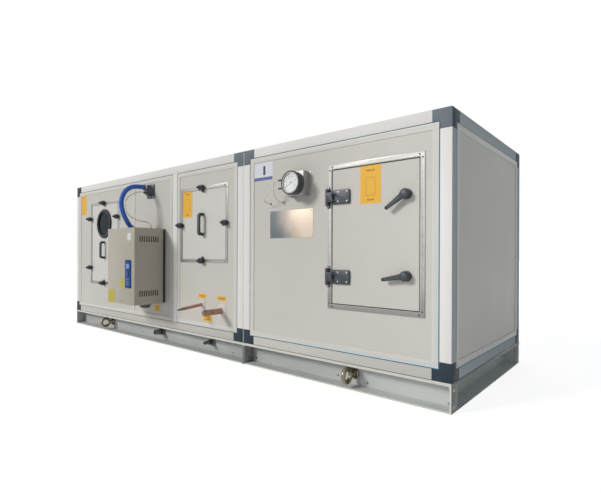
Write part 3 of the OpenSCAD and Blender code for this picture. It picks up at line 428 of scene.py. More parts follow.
def paper(name, colour, rough=0.5, shine=0.5):
    """Printed film or paper."""
    finish = Finish(name, Specular_IOR_Level=shine)
    fibre = finish.noise(260.0, 3.0)
    return finish.made(
        finish.tones(fibre, colour, 0.96, 1.04), fibre.spread(rough, 0.1), finish.noise(30.0), 0.0002)


def film_line(name, teal, groove):
    """Seal beside a bead: grey, and teal towards the right where the edge of a film shows."""
    finish = Finish(name)
    shows = (finish.axis(0) * 0.35 + finish.noise(1.7, 3.0)).step(0.55, 0.95)
    return finish.made(finish.mix(shows, groove, teal), shows * 0.2 + 0.35, finish.noise(90.0), 0.0002)


def film_band(name, film, bare):
    """Film left along the outer edge of a bead; it thins out to the left and upwards."""
    finish = Finish(name)
    patch = finish.noise(2.6, 3.0).step(0.35, 0.65)
    share = (finish.axis(0) + patch * 0.3).step(0.75, 1.45) * (1 - finish.axis(2).step(0.7, 1.15))
    return finish.made(finish.mix(share, bare, film), patch * 0.15 + 0.25, finish.noise(40.0), 0.0003)


def shaded_plate(name, cool, warm):
    """Stainless plate, brushed along its length, that goes from a cool to a warm sheen."""
    finish = Finish(name, Metallic=0.25)
    lines = finish.noise(1.0, 3.0, (6, 600, 900))
    across = finish.axis(0) + finish.axis(2) * 0.25 + finish.noise(9.0, 3.0) * 0.12
    return finish.made(finish.mix(across.step(0.98, 1.20), cool, warm), lines * 0.2 + 0.42, lines, 0.00006)


def glazing(name, colour, rough, see_through, shine=0.5):
    """Pane of clear or tinted glass with faint smears."""
    finish = Finish(name, Transmission_Weight=see_through, IOR=1.45, Specular_IOR_Level=shine)
    smear = finish.noise(22.0, 3.0).step(0.4, 0.8)
    return finish.made(finish.tones(smear, colour, 1.0, 1.2), smear * 0.08 + rough)


def make_finishes(c):
    """All materials by name, from c, the colours a user can change."""
    return {
        "panel": painted("panel_coat", c.panel, 0.46, shine=0.2),
        # The frame coat carries painted shade at its foot and on its right end
        "profile": frame_coat("profile_coat", c.profile, c.foot, c.wrap, 0.55),
        "hatch": painted("hatch_coat", c.hatch, 0.46, shine=0.2),
        "bead": painted("bead_coat", c.bead, 0.44, drift=0.02, shine=0.2),
        # The base paint carries painted light and shade
        "base": channel_paint("base_coat", c.base, c.base_clean, c.base_edge, 0.45),
        # The corner blocks carry a painted highlight high up
        "corner": moulded("corner_nylon", c.corner, 0.5, shine=0.1, painted_sheen=c.corner_top),
        "black": moulded("hardware_nylon", c.black, 0.42),
        "rubber": rubbery("seal_rubber", c.rubber, 0.7),
        "gasket": rubbery("gasket_foam", c.gasket, 0.8),
        "strip": satin_metal("strip_aluminium", c.strip, 0.40),
        "bracket": satin_metal("bracket_sheet", c.bracket, 0.46),
        "zinc": plated("zinc_plate", c.zinc, 0.44, metal=0.7, contrast=0.08),
        "drain": plated("drain_steel", c.drain, 0.42, metal=0.6),
        "steel": plated("screw_steel", c.steel, 0.3),
        "chromate": plated("chromate_plate", c.chromate, 0.3),
        "plate": shaded_plate("plate_stainless", c.plate, c.plate_warm),
        "copper": dull_copper("pipe_copper", c.copper, c.tarnish),
        "cabinet": painted("cabinet_coat", c.cabinet, 0.5, peel=700.0, depth=0.0002),
        "ring": moulded("porthole_nylon", c.ring, 0.45, shine=0.2),
        "dark": painted("back_frame_coat", c.dark, 0.5),
        "keypad": paper("keypad_film", c.keypad, 0.35, shine=0.1),
        "hose": rubbery("hose_silicone", c.hose, 0.38),
        "tube": rubbery("tube_clear", c.tube, 0.3, alpha=0.6),
        "groove": film_line("bead_groove", c.teal, c.groove),
        "film": film_band("bead_film", c.film, c.bead),
        "label": paper("label_yellow", c.label),
        "lemon": paper("patch_yellow", c.lemon),
        "ink": paper("label_print", c.ink),
        "card": paper("card_white", c.card),
        "band": paper("card_band", c.band),
        "display": paper("keypad_display", c.display, 0.25),
        "button": moulded("keypad_button", c.button, 0.35),
        "dial": paper("dial_white", (0.86, 0.86, 0.84), 0.4),
        "mark": paper("dial_print", (0.03, 0.03, 0.03), 0.5),
        "pointer": paper("dial_pointer", (0.55, 0.03, 0.03), 0.4),
        "glass": glazing("gauge_glass", (0.95, 0.97, 0.98), 0.02, 1.0),
        # The porthole pane is opaque and near black: painted shade of the unit's dark inside
        "dark_glass": glazing("porthole_glass", (0.012, 0.020, 0.028), 0.12, 0.0, shine=0.07),
    }


def only(obj):
    """Makes obj the one selected and active object."""
    bpy.ops.object.select_all(action="DESELECT")
    obj.select_set(True)
    bpy.context.view_layer.objects.active = obj


def pick(obj, test, kind="polygons"):
    """Selects the faces, or the edges, that pass the test, and nothing else, for the next edit."""
    mesh = obj.data
    for parts in (mesh.vertices, mesh.edges, mesh.polygons):
        parts.foreach_set("select", [False] * len(parts))
    for part in getattr(mesh, kind):
        part.select = bool(test(part))


def edit(obj, *steps, edges=False):
    """Runs edit mode operators on the faces, or edges, of obj, each given with its settings."""
    only(obj)
    bpy.context.tool_settings.mesh_select_mode = (False, edges, not edges)
    bpy.ops.object.mode_set(mode="EDIT")
    for operator, settings in steps:
        operator(**settings)
    bpy.ops.object.mode_set(mode="OBJECT")


def settle(obj):
    """Puts the place, turn and size of obj into its mesh."""
    only(obj)
    bpy.ops.object.transform_apply(location=True, rotation=True, scale=True)
    return obj


def modify(obj, kind, **settings):
    """Adds a modifier and applies it."""
    only(obj)
    modifier = obj.modifiers.new(kind.title(), kind)
    for key, value in settings.items():
        setattr(modifier, key, value)
    bpy.ops.object.modifier_apply(modifier=modifier.name)
    return obj


def round_edges(obj, width, segments=2, angle=32):
    return modify(
        obj, "BEVEL", width=width, segments=segments, limit_method="ANGLE",
        angle_limit=math.radians(angle), use_clamp_overlap=False)


def primitive(operator, scale=(1, 1, 1), **settings):
    """A new primitive with its place and size in its mesh."""
    bpy.ops.object.select_all(action="DESELECT")
    operator(**settings)
    made = bpy.context.object
    made.scale = scale
    return settle(made)


def block(size, centre):
    """A box of the given size about a centre."""
    return primitive(bpy.ops.mesh.primitive_cube_add, size, size=1, location=centre)


def slab(width, height, thick):
    """A flat box that lies on the origin."""
    return block((width, height, thick), (0, 0, thick / 2))


def disc(radius, height, sides=32):
    """A round bar that stands on the origin."""
    return primitive(
        bpy.ops.mesh.primitive_cylinder_add, vertices=sides, radius=radius, depth=height,
        location=(0, 0, height / 2))


def loop(radius, wall, height, edge):
    """A round band with rounded edges that stands on the origin."""
    made = primitive(
        bpy.ops.mesh.primitive_cylinder_add, vertices=48, radius=radius, depth=height,
        end_fill_type="NOTHING", location=(0, 0, height / 2))
    modify(made, "SOLIDIFY", thickness=wall, offset=-1)
    return round_edges(made, edge, angle=60)


def put(obj, point, out=FRONT, spin=0.0):
    """Moves a piece modelled on the origin, facing +Z, to a point on a face that looks along out."""
    up = BACK if abs(out.z) > 0.99 else UP
    side = up.cross(out).normalized()
    turn = Matrix((side, out.cross(side), out)).transposed().to_4x4()
    obj.matrix_world = Matrix.Translation(Vector(point)) @ turn @ Matrix.Rotation(spin, 4, "Z")
    bpy.context.view_layer.update()
    return settle(obj)


def flat_ring(width, height, band, thick, middle, out=FRONT):
    """A flat rectangular ring inside an outline of the given size, standing on a face."""
    made = primitive(bpy.ops.mesh.primitive_plane_add, (width, height, 1), size=1)
    edit(
        made,
        (bpy.ops.mesh.select_all, {"action": "SELECT"}),
        (bpy.ops.mesh.inset, {"thickness": band}),
        (bpy.ops.mesh.delete, {"type": "FACE"}))
    modify(made, "SOLIDIFY", thickness=thick, offset=1)
    return put(made, middle, out)


def sheet(x, z, width, height, face, corner=0.003):
    """A label with round corners on a face that looks to the front."""
    made = slab(width, height, sizes().paper)
    points = made.data.vertices
    pick(made, lambda e: abs(points[e.vertices[0]].co.z - points[e.vertices[1]].co.z) > 1e-5, "edges")
    edit(made, (bpy.ops.mesh.bevel, {"offset": corner, "segments": 3, "affect": "EDGES"}), edges=True)
    return put(made, (x, face, z))


def screw_pattern(radius, height=None):
    """A pan head with a socket."""
    height = height or radius * 0.55
    head = round_edges(disc(radius, height, sides=16), radius * 0.28, angle=60)
    top = max(vertex.co.z for vertex in head.data.vertices)
    pick(head, lambda face: face.normal.z > 0.9 and face.center.z > top - 1e-5)
    edit(
        head,
        (bpy.ops.mesh.inset, {"thickness": radius * 0.3}),
        (bpy.ops.mesh.extrude_region_move, {"TRANSFORM_OT_translate": {"value": (0, 0, -height * 0.5)}}))
    return head


def copy_of(mesh):
    """A new object with its own copy of a mesh."""
    made = bpy.data.objects.new("copy", mesh.copy())
    bpy.context.collection.objects.link(made)
    return made


def repeat(pattern, places):
    """Copies of a pattern at each (point, direction), each turned further; the pattern is used up."""
    turn = 0.7
    parts = [put(copy_of(pattern.data), point, out, turn * i) for i, (point, out) in enumerate(places)]
    bpy.data.objects.remove(pattern)
    return parts


def on_circle(centre, radius, degrees):
    """A point of a circle on the front; the angle runs clockwise from the top."""
    turn = math.radians(degrees)
    return centre + radius * (RIGHT * math.sin(turn) + UP * math.cos(turn))


def round_about(pattern, centre, radius, angles):
    """Copies of a pattern around a circle on the front, its +Y outwards; the pattern is used up."""
    parts = [
        put(copy_of(pattern.data), on_circle(centre, radius, angle), spin=-math.radians(angle))
        for angle in angles]
    bpy.data.objects.remove(pattern)
    return parts


def four_corners(centre, across, up):
    """The corners of a rectangle about a centre on the front, for repeat."""
    return [(centre + RIGHT * across * i + UP * up * j, FRONT) for i in (-1, 1) for j in (-1, 1)]


def front_of(node):
    """Middle, width and height of a node's front."""
    low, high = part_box(node)
    middle = Vector(((low.x + high.x) / 2, low.y, (low.z + high.z) / 2))
    return middle, high.x - low.x, high.z - low.z


def dress(piece, finish, body="casing"):
    """Gives a piece its finish and the body it rides on."""
    piece.data.materials.append(FINISHES[finish])
    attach(piece, body)


def done(name, parts, finish, body="casing", angle=40):
    """Joins parts into one named piece, shades it and dresses it."""
    piece = parts[0]
    only(piece)
    for part in parts[1:]:
        part.select_set(True)
    if len(parts) > 1:
        bpy.ops.object.join()
    piece.name = name
    only(piece)
    bpy.ops.object.shade_smooth_by_angle(angle=math.radians(angle))
    dress(piece, finish, body)


def rounded_node(node, finish, width):
    """A merged copy of a node with its edges rounded, which stands for it."""
    made = copy_of(NODES[node].data)
    made.data.materials.clear()
    edit(
        made,
        (bpy.ops.mesh.select_all, {"action": "SELECT"}),
        (bpy.ops.mesh.remove_doubles, {"threshold": 1e-5}),
        (bpy.ops.mesh.dissolve_limited, {"angle_limit": math.radians(0.4)}),
        (bpy.ops.mesh.customdata_custom_splitnormals_clear, {}))
    round_edges(made, width)
    done(node + "_rounded", [made], finish, BODY_OF[node], angle=32)
    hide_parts(node)
    return made


def hose(name, route, diameter, finish, node, stiffness):
    """A hose along its route, at its real length."""
    curve = bpy.data.curves.new(name, "CURVE")
    curve.dimensions = "3D"
    curve.bevel_depth = diameter / 2
    curve.bevel_resolution = 6
    curve.resolution_u = 6
    curve.use_fill_caps = True
    spline = curve.splines.new("BEZIER")
    spline.bezier_points.add(len(route) - 1)
    for point, place in zip(spline.bezier_points, route):
        point.co = place
        point.handle_left_type = "AUTO"
        point.handle_right_type = "AUTO"
    made = bpy.data.objects.new(name, curve)
    bpy.context.collection.objects.link(made)
    dress(made, finish)
    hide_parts(node)
    bpy.context.view_layer.update()


class UNIT_OT_stage(bpy.types.Operator):
    """Camera at the viewing angle, pale floor, soft lights and a white surround"""

    bl_idname = "unit.stage"
    bl_label = "Studio"

    # Name, kind, place, target and settings: a warm sun from the upper left, a soft spot on the right end
    # of the front, a weak cool light from the right and one from behind
    LAMPS = (
        ("key", "SUN", (-0.6, -1.0, 0.6), (0, 0, 0),
         {"energy": 1.75, "angle": math.radians(16), "color": (1.0, 0.975, 0.94)}),
        ("side", "SPOT", (1.2, -6.0, 0.9), (2.10, -0.53, 0.75),
         {"energy": 175, "spot_size": math.radians(20), "spot_blend": 1.0, "shadow_soft_size": 0.5}),
        ("fill", "AREA", (5.5, -2.5, 2.6), (0, 0, 0.6),
         {"energy": 5, "size": 3.0, "color": (0.88, 0.95, 1.0)}),
        ("back", "AREA", (-2.0, 5.5, 3.5), (0, 0, 0.6),
         {"energy": 100, "size": 4.0, "color": (1.0, 0.98, 0.96)}))

    def execute(self, context):
        scene = context.scene
        scene.view_settings.view_transform = "Standard"
        self.camera(scene)
        self.floor()
        self.lamps(scene)
        self.surround(scene)
        return {"FINISHED"}

    def camera(self, scene):
        focal_px, horizon_px = 427.17, 7.33
        yaw, roll = math.radians(39.80), math.radians(0.216)
        place = (2.3170, -2.2061, 0.6319)
        data = bpy.data.cameras.new("photo_camera")
        data.sensor_width = 36
        data.lens = focal_px * data.sensor_width / IMAGE_W
        data.shift_y = horizon_px / IMAGE_W
        camera = bpy.data.objects.new("photo_camera", data)
        scene.collection.objects.link(camera)
        camera.matrix_world = (
            Matrix.Translation(place)
            @ Matrix.Rotation(yaw, 4, "Z")
            @ Matrix.Rotation(math.pi / 2, 4, "X")
            @ Matrix.Rotation(roll, 4, "Z"))
        scene.camera = camera

    def floor(self):
        """White floor that keeps the object's shadow close to it."""
        made = primitive(bpy.ops.mesh.primitive_circle_add, vertices=96, radius=40, fill_type="NGON")
        made.name = "studio_floor"
        finish = Finish("floor_white", Base_Color=(0.9, 0.9, 0.9), Roughness=0.9)
        reach = finish.node("VectorMath", {"operation": "LENGTH"}, {0: finish.place}, output="Value")
        glow = finish.node("Emission", {}, {"Color": (1, 1, 1), "Strength": 1.34})
        share = finish.seen() * (reach.step(2.4, 4.6) * 0.35 + 0.65)
        both = finish.node("MixShader", {}, {0: share, 1: finish.surface, 2: glow})
        made.data.materials.append(finish.show(both))

    def lamps(self, scene):
        for name, kind, place, target, settings in self.LAMPS:
            data = bpy.data.lights.new(name, kind)
            for key, value in settings.items():
                setattr(data, key, value)
            lamp = bpy.data.objects.new(name, data)
            scene.collection.objects.link(lamp)
            lamp.location = place
            lamp.rotation_euler = (Vector(target) - Vector(place)).to_track_quat("-Z", "Y").to_euler()

    def surround(self, scene):
        """World that is white to the eye and in reflections, and a cool, even fill for the object."""
        scene.world = bpy.data.worlds.new("surround")
        graph = Graph(scene.world)
        fill = graph.node("Background", {}, {"Color": (0.86, 0.94, 1.0), "Strength": 0.22})
        white = graph.node("Background", {}, {"Color": (1, 1, 1), "Strength": 1.0})
        both = graph.node("MixShader", {}, {0: graph.seen(), 1: fill, 2: white})
        graph.node("OutputWorld", {}, {0: both})


class UNIT_OT_hoses(bpy.types.Operator):
    """Steam hose, condensate hose and the two pressure tubes"""

    bl_idname = "unit.hoses"
    bl_label = "Hoses"

    def execute(self, context):
        for row in (
                ("blue_steam_hose", STEAM_ROUTE, 0.032, "hose", "steam_hose", "medium"),
                ("thin_condensate_hose", CONDENSATE_ROUTE, 0.008, "tube", "condensate_hose", "limp"),
                ("pressure_tube_upper", UPPER_TUBE_ROUTE, 0.006, "tube", "gauge_tube_upper", "limp"),
                ("pressure_tube_lower", LOWER_TUBE_ROUTE, 0.006, "tube", "gauge_tube_lower", "limp")):
            hose(*row)
        return {"FINISHED"}


class UNIT_OT_casing(bpy.types.Operator):
    """Finishes of the base, the frame, the panels and the hardware"""

    bl_idname = "unit.casing"
    bl_label = "Casing"

    # Nodes that keep their own mesh, by finish
    FLAT = {
        "panel": [
            "fan_front_panel", "middle_front_panel", "coil_front_panel", "right_front_panel", "back_panels",
            "left_end_panel", "right_end_panel", "roof_panels", "floor_panels", "door_leaf"],
        "hatch": ["fan_access_panel", "coil_access_panel"],
        "profile": ["mullions"],
        "base": ["base_end_channels"],
        "zinc": ["supply_collar", "return_collar"],
        "gasket": ["section_gasket"],
        "rubber": ["door_stop"],
        "dial": ["gauge_dial"],
        "glass": ["gauge_lens"],
        "dark_glass": ["porthole_glass"],
    }
    # Nodes that get rounded edges, by finish, and the width of the rounding
    ROUNDED = {
        "base": {"base_side_channels": 0.0016, "base_end_plates": 0.0012},
        "profile": {"corner_posts": 0.0015, "long_rails": 0.0015, "cross_rails": 0.0015},
        "bead": {"panel_beads": 0.0010, "pipe_escutcheons": 0.0006},
        "corner": {"corner_blocks": 0.0025},
        "strip": {"door_frame": 0.0008, "access_frames": 0.0008, "gauge_wall_fittings": 0.0006},
        "bracket": {"gauge_bracket": 0.0006},
        "drain": {"drain_stubs": 0.0006},
        "black": {
            "hinge_frame_leaves": 0.0010, "hinge_door_leaves": 0.0010, "lever_rosettes": 0.0010,
            "upper_lever": 0.0020, "lower_lever": 0.0020, "access_handles": 0.0025, "access_latches": 0.0015,
            "humidifier_drain_cup": 0.0015, "steam_inlet": 0.0012, "gauge_body": 0.0008},
        "ring": {"porthole_ring": 0.0010},
        "copper": {"coil_pipes": 0.0008},
        "cabinet": {"humidifier_cabinet": 0.0018},
        "dark": {"humidifier_back_frame": 0.0010},
        "keypad": {"humidifier_control_panel": 0.0008},
    }
    EYE_EDGE = 0.0010

    def execute(self, context):
        for finish, nodes in self.FLAT.items():
            for node in nodes:
                NODES[node].data.materials.clear()
                NODES[node].data.materials.append(FINISHES[finish])
        for finish, nodes in self.ROUNDED.items():
            for node, width in nodes.items():
                rounded_node(node, finish, width)
        for node in ("front_lifting_eyes", "back_lifting_eyes"):
            edit(
                rounded_node(node, "chromate", self.EYE_EDGE),
                (bpy.ops.mesh.select_all, {"action": "SELECT"}),
                (bpy.ops.transform.shrink_fatten, {"value": sizes().eye_coat}))
        return {"FINISHED"}


class UNIT_OT_seals(bpy.types.Operator):
    """Seals and film along the beads, ribs of the bright strips, and the joint lines"""

    bl_idname = "unit.seals"
    bl_label = "Seals and strips"

    def execute(self, context):
        self.grooves()
        self.film()
        self.ribs()
        self.joint()
        self.foot()
        return {"FINISHED"}

    def fields(self):
        """Width, height and middle of the three framed fields of the front."""
        low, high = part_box("fan_front_panel")
        for first, last in (("fan", "middle"), ("coil", "coil"), ("right", "right")):
            x0, x1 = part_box(first + "_front_panel")[0].x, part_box(last + "_front_panel")[1].x
            yield x1 - x0, high.z - low.z, Vector(((x0 + x1) / 2, PANEL_FACE, (low.z + high.z) / 2))

    def grooves(self):
        """Seal beside the bead of each field, on all four sides."""
        places = []
        for width, height, middle in self.fields():
            behind = Vector((middle.x, -middle.y, middle.z))
            places += [(width, height, middle, FRONT), (width, height, behind, BACK)]
        for node, out in (("left_end_panel", LEFT), ("right_end_panel", RIGHT)):
            low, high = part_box(node)
            middle = Vector((high.x if out == RIGHT else low.x, 0, (low.z + high.z) / 2))
            places.append((high.y - low.y, high.z - low.z, middle, out))
        seal, depth = sizes().seal, BEAD_PROUD * 0.6
        rings = [flat_ring(width, height, seal, depth, middle, out) for width, height, middle, out in places]
        done("bead_seals", rings, "groove")

    def film(self):
        """Film along the outer edge of the right section's front bead."""
        thick, clearance = 0.0003, 0.0006
        margin = 2 * (sizes().seal + clearance)
        width, height, middle = list(self.fields())[-1]
        face = middle + FRONT * BEAD_PROUD
        done("bead_film", [flat_ring(width - margin, height - margin, sizes().film, thick, face)], "film")

    def ribs(self):
        """Two raised ribs along the bright strips of each opening."""
        door_gap, panel_gap, rib_width = 0.005, 0.0005, 0.004
        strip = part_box("door_leaf")[0].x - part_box("door_frame")[0].x - door_gap
        ribs = []
        for node, gap in (
                ("door_leaf", door_gap), ("fan_access_panel", panel_gap), ("coil_access_panel", panel_gap)):
            middle, width, height = front_of(node)
            middle.y = STRIP_FACE
            for inset in (0.0035, 0.0145):
                grow = 2 * (gap + strip - inset)
                ribs.append(flat_ring(width + grow, height + grow, rib_width, sizes().rib, middle))
        done("strip_ribs", ribs, "strip")

    def joint(self):
        """White strip between the sections, up both sides and over the top."""
        wide, deep, edge = 0.0034, 0.006, 0.0004
        size = CORNER_HIGH - CORNER_LOW
        strips = [
            block((wide, deep, size.z), (JOINT_X, y, CORNER_LOW.z + size.z / 2))
            for y in (CORNER_LOW.y + deep / 2, CORNER_HIGH.y - deep / 2)]
        strips.append(block((wide, size.y, deep), (JOINT_X, 0, CORNER_HIGH.z - deep / 2)))
        done("joint_strip", [round_edges(strip, edge) for strip in strips], "gasket")

    def foot(self):
        """Dark line all around between casing and base, a painted shadow of the gap there, and the lip of
        the base below it, pale with the base's painted highlight.
        """
        lip_top, deep = CORNER_LOW.z + 0.0035, 0.002
        size = CORNER_HIGH - CORNER_LOW
        for name, z, tall, proud, edge, finish in (
                # A dark strip as painted shadow along the joint of casing and base
                ("base_line", lip_top + 0.0011, 0.0022, 0.0006, 0.0002, "rubber"),
                ("base_lips", lip_top - 0.0065, 0.0130, 0.0012, 0.0005, "base")):
            strips = []
            for side in (-1, 1):
                out_x, out_y = (side * (face + proud - deep / 2) for face in CORNER_HIGH.xy)
                strips.append(block((size.x + 2 * proud, deep, tall), (0, out_y, z)))
                strips.append(block((deep, size.y, tall), (out_x, 0, z)))
            done(name, [round_edges(strip, edge) for strip in strips], finish)


class UNIT_OT_labels(bpy.types.Operator):
    """Bare yellow and white labels, and the plain stainless plate"""

    bl_idname = "unit.labels"
    bl_label = "Labels"

    BAR_HEIGHT, BAR_CORNER = 0.006, 0.001

    def execute(self, context):
        for name, x, z, width, height, body in (
                ("door_label", 1.330, 0.945, 0.106, 0.172, "door"),
                ("coil_label", -0.042, 0.953, 0.106, 0.174, "casing"),
                ("fan_label", -1.570, 1.052, 0.104, 0.173, "casing")):
            self.yellow(name, x, z, width, height, body)
        self.tags()
        self.cards()
        self.plate()
        return {"FINISHED"}

    def bar(self, x, z, width):
        """A short printed bar on a label of the panel's face."""
        return sheet(x, z, width, self.BAR_HEIGHT, PANEL_FACE - sizes().paper, self.BAR_CORNER)

    def yellow(self, name, x, z, width, height, body):
        """Yellow sheet with a printed frame and a bar above and below it."""
        done(name, [sheet(x, z, width, height, PANEL_FACE)], "label", body)
        line, ink, middle = 0.0018, 0.0001, (x, PANEL_FACE - sizes().paper, z - height * 0.05)
        strokes = [flat_ring(width * 0.45, height * 0.48, line, ink, middle)]
        for rise, share in ((0.37, 0.42), (-0.40, 0.34)):
            strokes.append(self.bar(x, z + height * rise, width * share))
        done(name + "_print", strokes, "ink", body)

    def tags(self):
        """Small tags with short printed bars, and the pale yellow patches on the humidifier's cover."""
        tags = (
            (0.117, 0.364, 0.080, 0.028), (0.305, 0.361, 0.082, 0.026), (0.170, 0.230, 0.084, 0.042),
            (-0.396, 0.244, 0.070, 0.046))
        done("plain_yellow_tags", [sheet(*tag, PANEL_FACE) for tag in tags], "label")
        patches = ((-0.598, 0.336, 0.090, 0.090), (-0.449, 0.431, 0.056, 0.064))
        done("cabinet_patches", [sheet(*patch, CABINET_LOW.y) for patch in patches], "lemon")
        bars = (
            (0.117, 0.364, 0.054), (0.305, 0.361, 0.056), (0.170, 0.237, 0.060), (0.170, 0.222, 0.044),
            (-0.396, 0.252, 0.046), (-0.396, 0.236, 0.034))
        done("tag_print", [self.bar(*bar) for bar in bars], "ink")

    def cards(self):
        """White card with a blue band and a dark bar, and the white sticker of the humidifier."""
        ink = PANEL_FACE - sizes().paper
        for name, x, z, width, height, face, finish in (
                ("white_card", 0.654, 1.082, 0.143, 0.100, PANEL_FACE, "card"),
                ("white_card_band", 0.654, 1.043, 0.139, 0.018, ink, "band"),
                ("white_card_bar", 0.662, 1.088, 0.016, 0.050, ink, "button"),
                ("cabinet_sticker", -0.362, 0.742, 0.044, 0.048, CABINET_LOW.y, "card")):
            done(name, [sheet(x, z, width, height, face)], finish)

    def plate(self):
        """Plain plate with a rivet at each corner."""
        width, height, thick, margin = 0.295, 0.145, 0.0015, 0.009
        centre = Vector((0.8565, PANEL_FACE, 0.7875))
        made = round_edges(slab(width, height, thick), 0.0005)
        done("stainless_plate", [put(made, centre)], "plate")
        radius = sizes().rivet
        rivet = round_edges(disc(radius, radius * 0.5, sides=16), radius * 0.4, segments=3, angle=60)
        places = four_corners(centre + FRONT * thick, width / 2 - margin, height / 2 - margin)
        done("plate_rivets", repeat(rivet, places), "steel")


class UNIT_OT_fasteners(bpy.types.Operator):
    """Screws of the hinges, strips, porthole, cabinet and base"""

    bl_idname = "unit.fasteners"
    bl_label = "Fasteners"

    def execute(self, context):
        self.strips()
        self.hinges()
        self.porthole()
        self.cabinet()
        self.base()
        self.drains()
        self.ducts()
        return {"FINISHED"}

    def strips(self):
        """Two screws at each corner of the bright strips, their heads in the dark coat as painted shade."""
        face, step = STRIP_FACE - sizes().rib, 0.014
        places = []
        for node, out in (("door_leaf", 0.016), ("fan_access_panel", 0.0115), ("coil_access_panel", 0.0115)):
            low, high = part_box(node)
            for x, dx in ((low.x - out, step), (high.x + out, -step)):
                for z, dz in ((low.z - out, step), (high.z + out, -step)):
                    places += [((x + dx, face, z), FRONT), ((x, face, z + dz), FRONT)]
        # The dark coat on these bright steel heads is painted shade
        done("strip_screws", repeat(screw_pattern(sizes().screw * 0.85), places), "dark")

    def hinges(self):
        """Four screws on each door plate, and one on each lug of the frame plate."""
        low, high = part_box("hinge_frame_leaves")
        free_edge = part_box("hinge_door_leaves")[1].x
        axis_x = (low.x + high.x) / 2
        plate_face, lug_face = PANEL_FACE - 0.009, BEAD_FACE - 0.004
        half, plate_rise, lug_rise = 0.052, 0.022, 0.043
        plates, lugs = [], []
        for z in (low.z + half, high.z - half):
            for inset in (0.064, 0.014):
                x = free_edge - inset
                plates += [((x, plate_face, z + rise), FRONT) for rise in (-plate_rise, plate_rise)]
            lugs += [((axis_x, lug_face, z + rise), FRONT) for rise in (-lug_rise, lug_rise)]
        done("hinge_screws", repeat(screw_pattern(sizes().screw), plates), "steel", "door")
        done("hinge_lug_screws", repeat(screw_pattern(sizes().screw), lugs), "steel")

    def porthole(self):
        """Bolts around the ring, in from its rim."""
        centre, width, _ = front_of("porthole_ring")
        bolt, inset = screw_pattern(sizes().bolt * 0.8, 0.003), 0.0125
        done("porthole_bolts", round_about(bolt, centre, width / 2 - inset, range(0, 360, 45)), "black")

    def cabinet(self):
        """Cover screws of the humidifier, and the bolts of the steam inlet's plate."""
        low, high = CABINET_LOW, CABINET_HIGH
        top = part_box("humidifier_back_frame")[1].z
        inset, side_depth = 0.020, 0.034
        foot_x, foot_rise = -0.474, 0.018
        covers = [((foot_x, low.y, low.z + foot_rise), FRONT)]
        for x, out in ((low.x, LEFT), (high.x, RIGHT)):
            covers += [((x, PANEL_FACE - side_depth, z), out) for z in (low.z + inset, top - inset)]
        done("cabinet_screws", repeat(screw_pattern(sizes().screw), covers), "steel")
        plate_thick, across, up = 0.008, 0.037, 0.040
        centre = front_of("steam_inlet")[0]
        centre.y = PANEL_FACE - plate_thick
        bolt = screw_pattern(sizes().screw * 1.2)
        done("inlet_bolts", repeat(bolt, four_corners(centre, across, up)), "steel")

    def base(self):
        """Bolts of the end plates, and dark discs as painted shade in the holes of the webs."""
        low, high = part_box("base_end_plates")
        flange, web = 0.070, 0.0055
        face = low.y + flange - web
        end_y, end_rows = 0.515, (0.024, 0.092)
        web_x, web_rows = 1.668, (0.021, 0.084)
        bolts = []
        for x, out in ((low.x, LEFT), (high.x, RIGHT)):
            bolts += [((x, y, z), out) for y in (-end_y, end_y) for z in end_rows]
        for x in (-web_x, web_x):
            for z in web_rows:
                bolts += [((x, face, z), FRONT), ((x, -face, z), BACK)]
        plate_x, plate_z, insets = JOINT_X + 0.010, 0.030, (0.018, 0.046)
        bolts += [((plate_x, low.y + inset, plate_z), RIGHT) for inset in insets]
        bolts += [((plate_x, high.y - inset, plate_z), RIGHT) for inset in insets]
        done("base_bolts", repeat(screw_pattern(sizes().bolt, 0.002), bolts), "steel")
        # Dark discs as painted shade where the webs have holes
        holes = []
        for x, z in (
                (-0.700, 0.031), (0.340, 0.028), (0.545, 0.030), (1.115, 0.036), (1.282, 0.030),
                (-1.214, 0.048), (-1.094, 0.050)):
            holes += [((x, face, z), FRONT), ((x, -face, z), BACK)]
        hole_shade = round_edges(disc(sizes().bolt * 0.6, 0.0008, sides=16), 0.0003, angle=60)
        done("base_plugs", repeat(hole_shade, holes), "rubber")

    def drains(self):
        """Rubber ring around each drain stub where it leaves its hub."""
        hub_face, height = -0.4905, 0.071
        wall, clearance, long, edge = 0.0050, 0.0002, 0.009, 0.0014
        rings = [
            put(loop(radius + wall + clearance, wall, long, edge), (x, hub_face, height))
            for x, radius in ((-0.415, 0.017), (0.146, 0.011))]
        done("drain_seals", rings, "rubber")

    def ducts(self):
        """Bolts at the corners and the middles of the duct flanges."""
        inset = 0.015
        low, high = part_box("supply_collar")
        places = [
            ((low.x, y, z), LEFT)
            for y in (low.y + inset, 0, high.y - inset) for z in (low.z + inset, high.z - inset)]
        low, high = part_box("return_collar")
        places += [
            ((x, y, high.z), UP)
            for x in (low.x + inset, (low.x + high.x) / 2, high.x - inset)
            for y in (low.y + inset, high.y - inset)]
        done("duct_bolts", repeat(screw_pattern(sizes().bolt * 0.8, 0.0018), places), "steel")


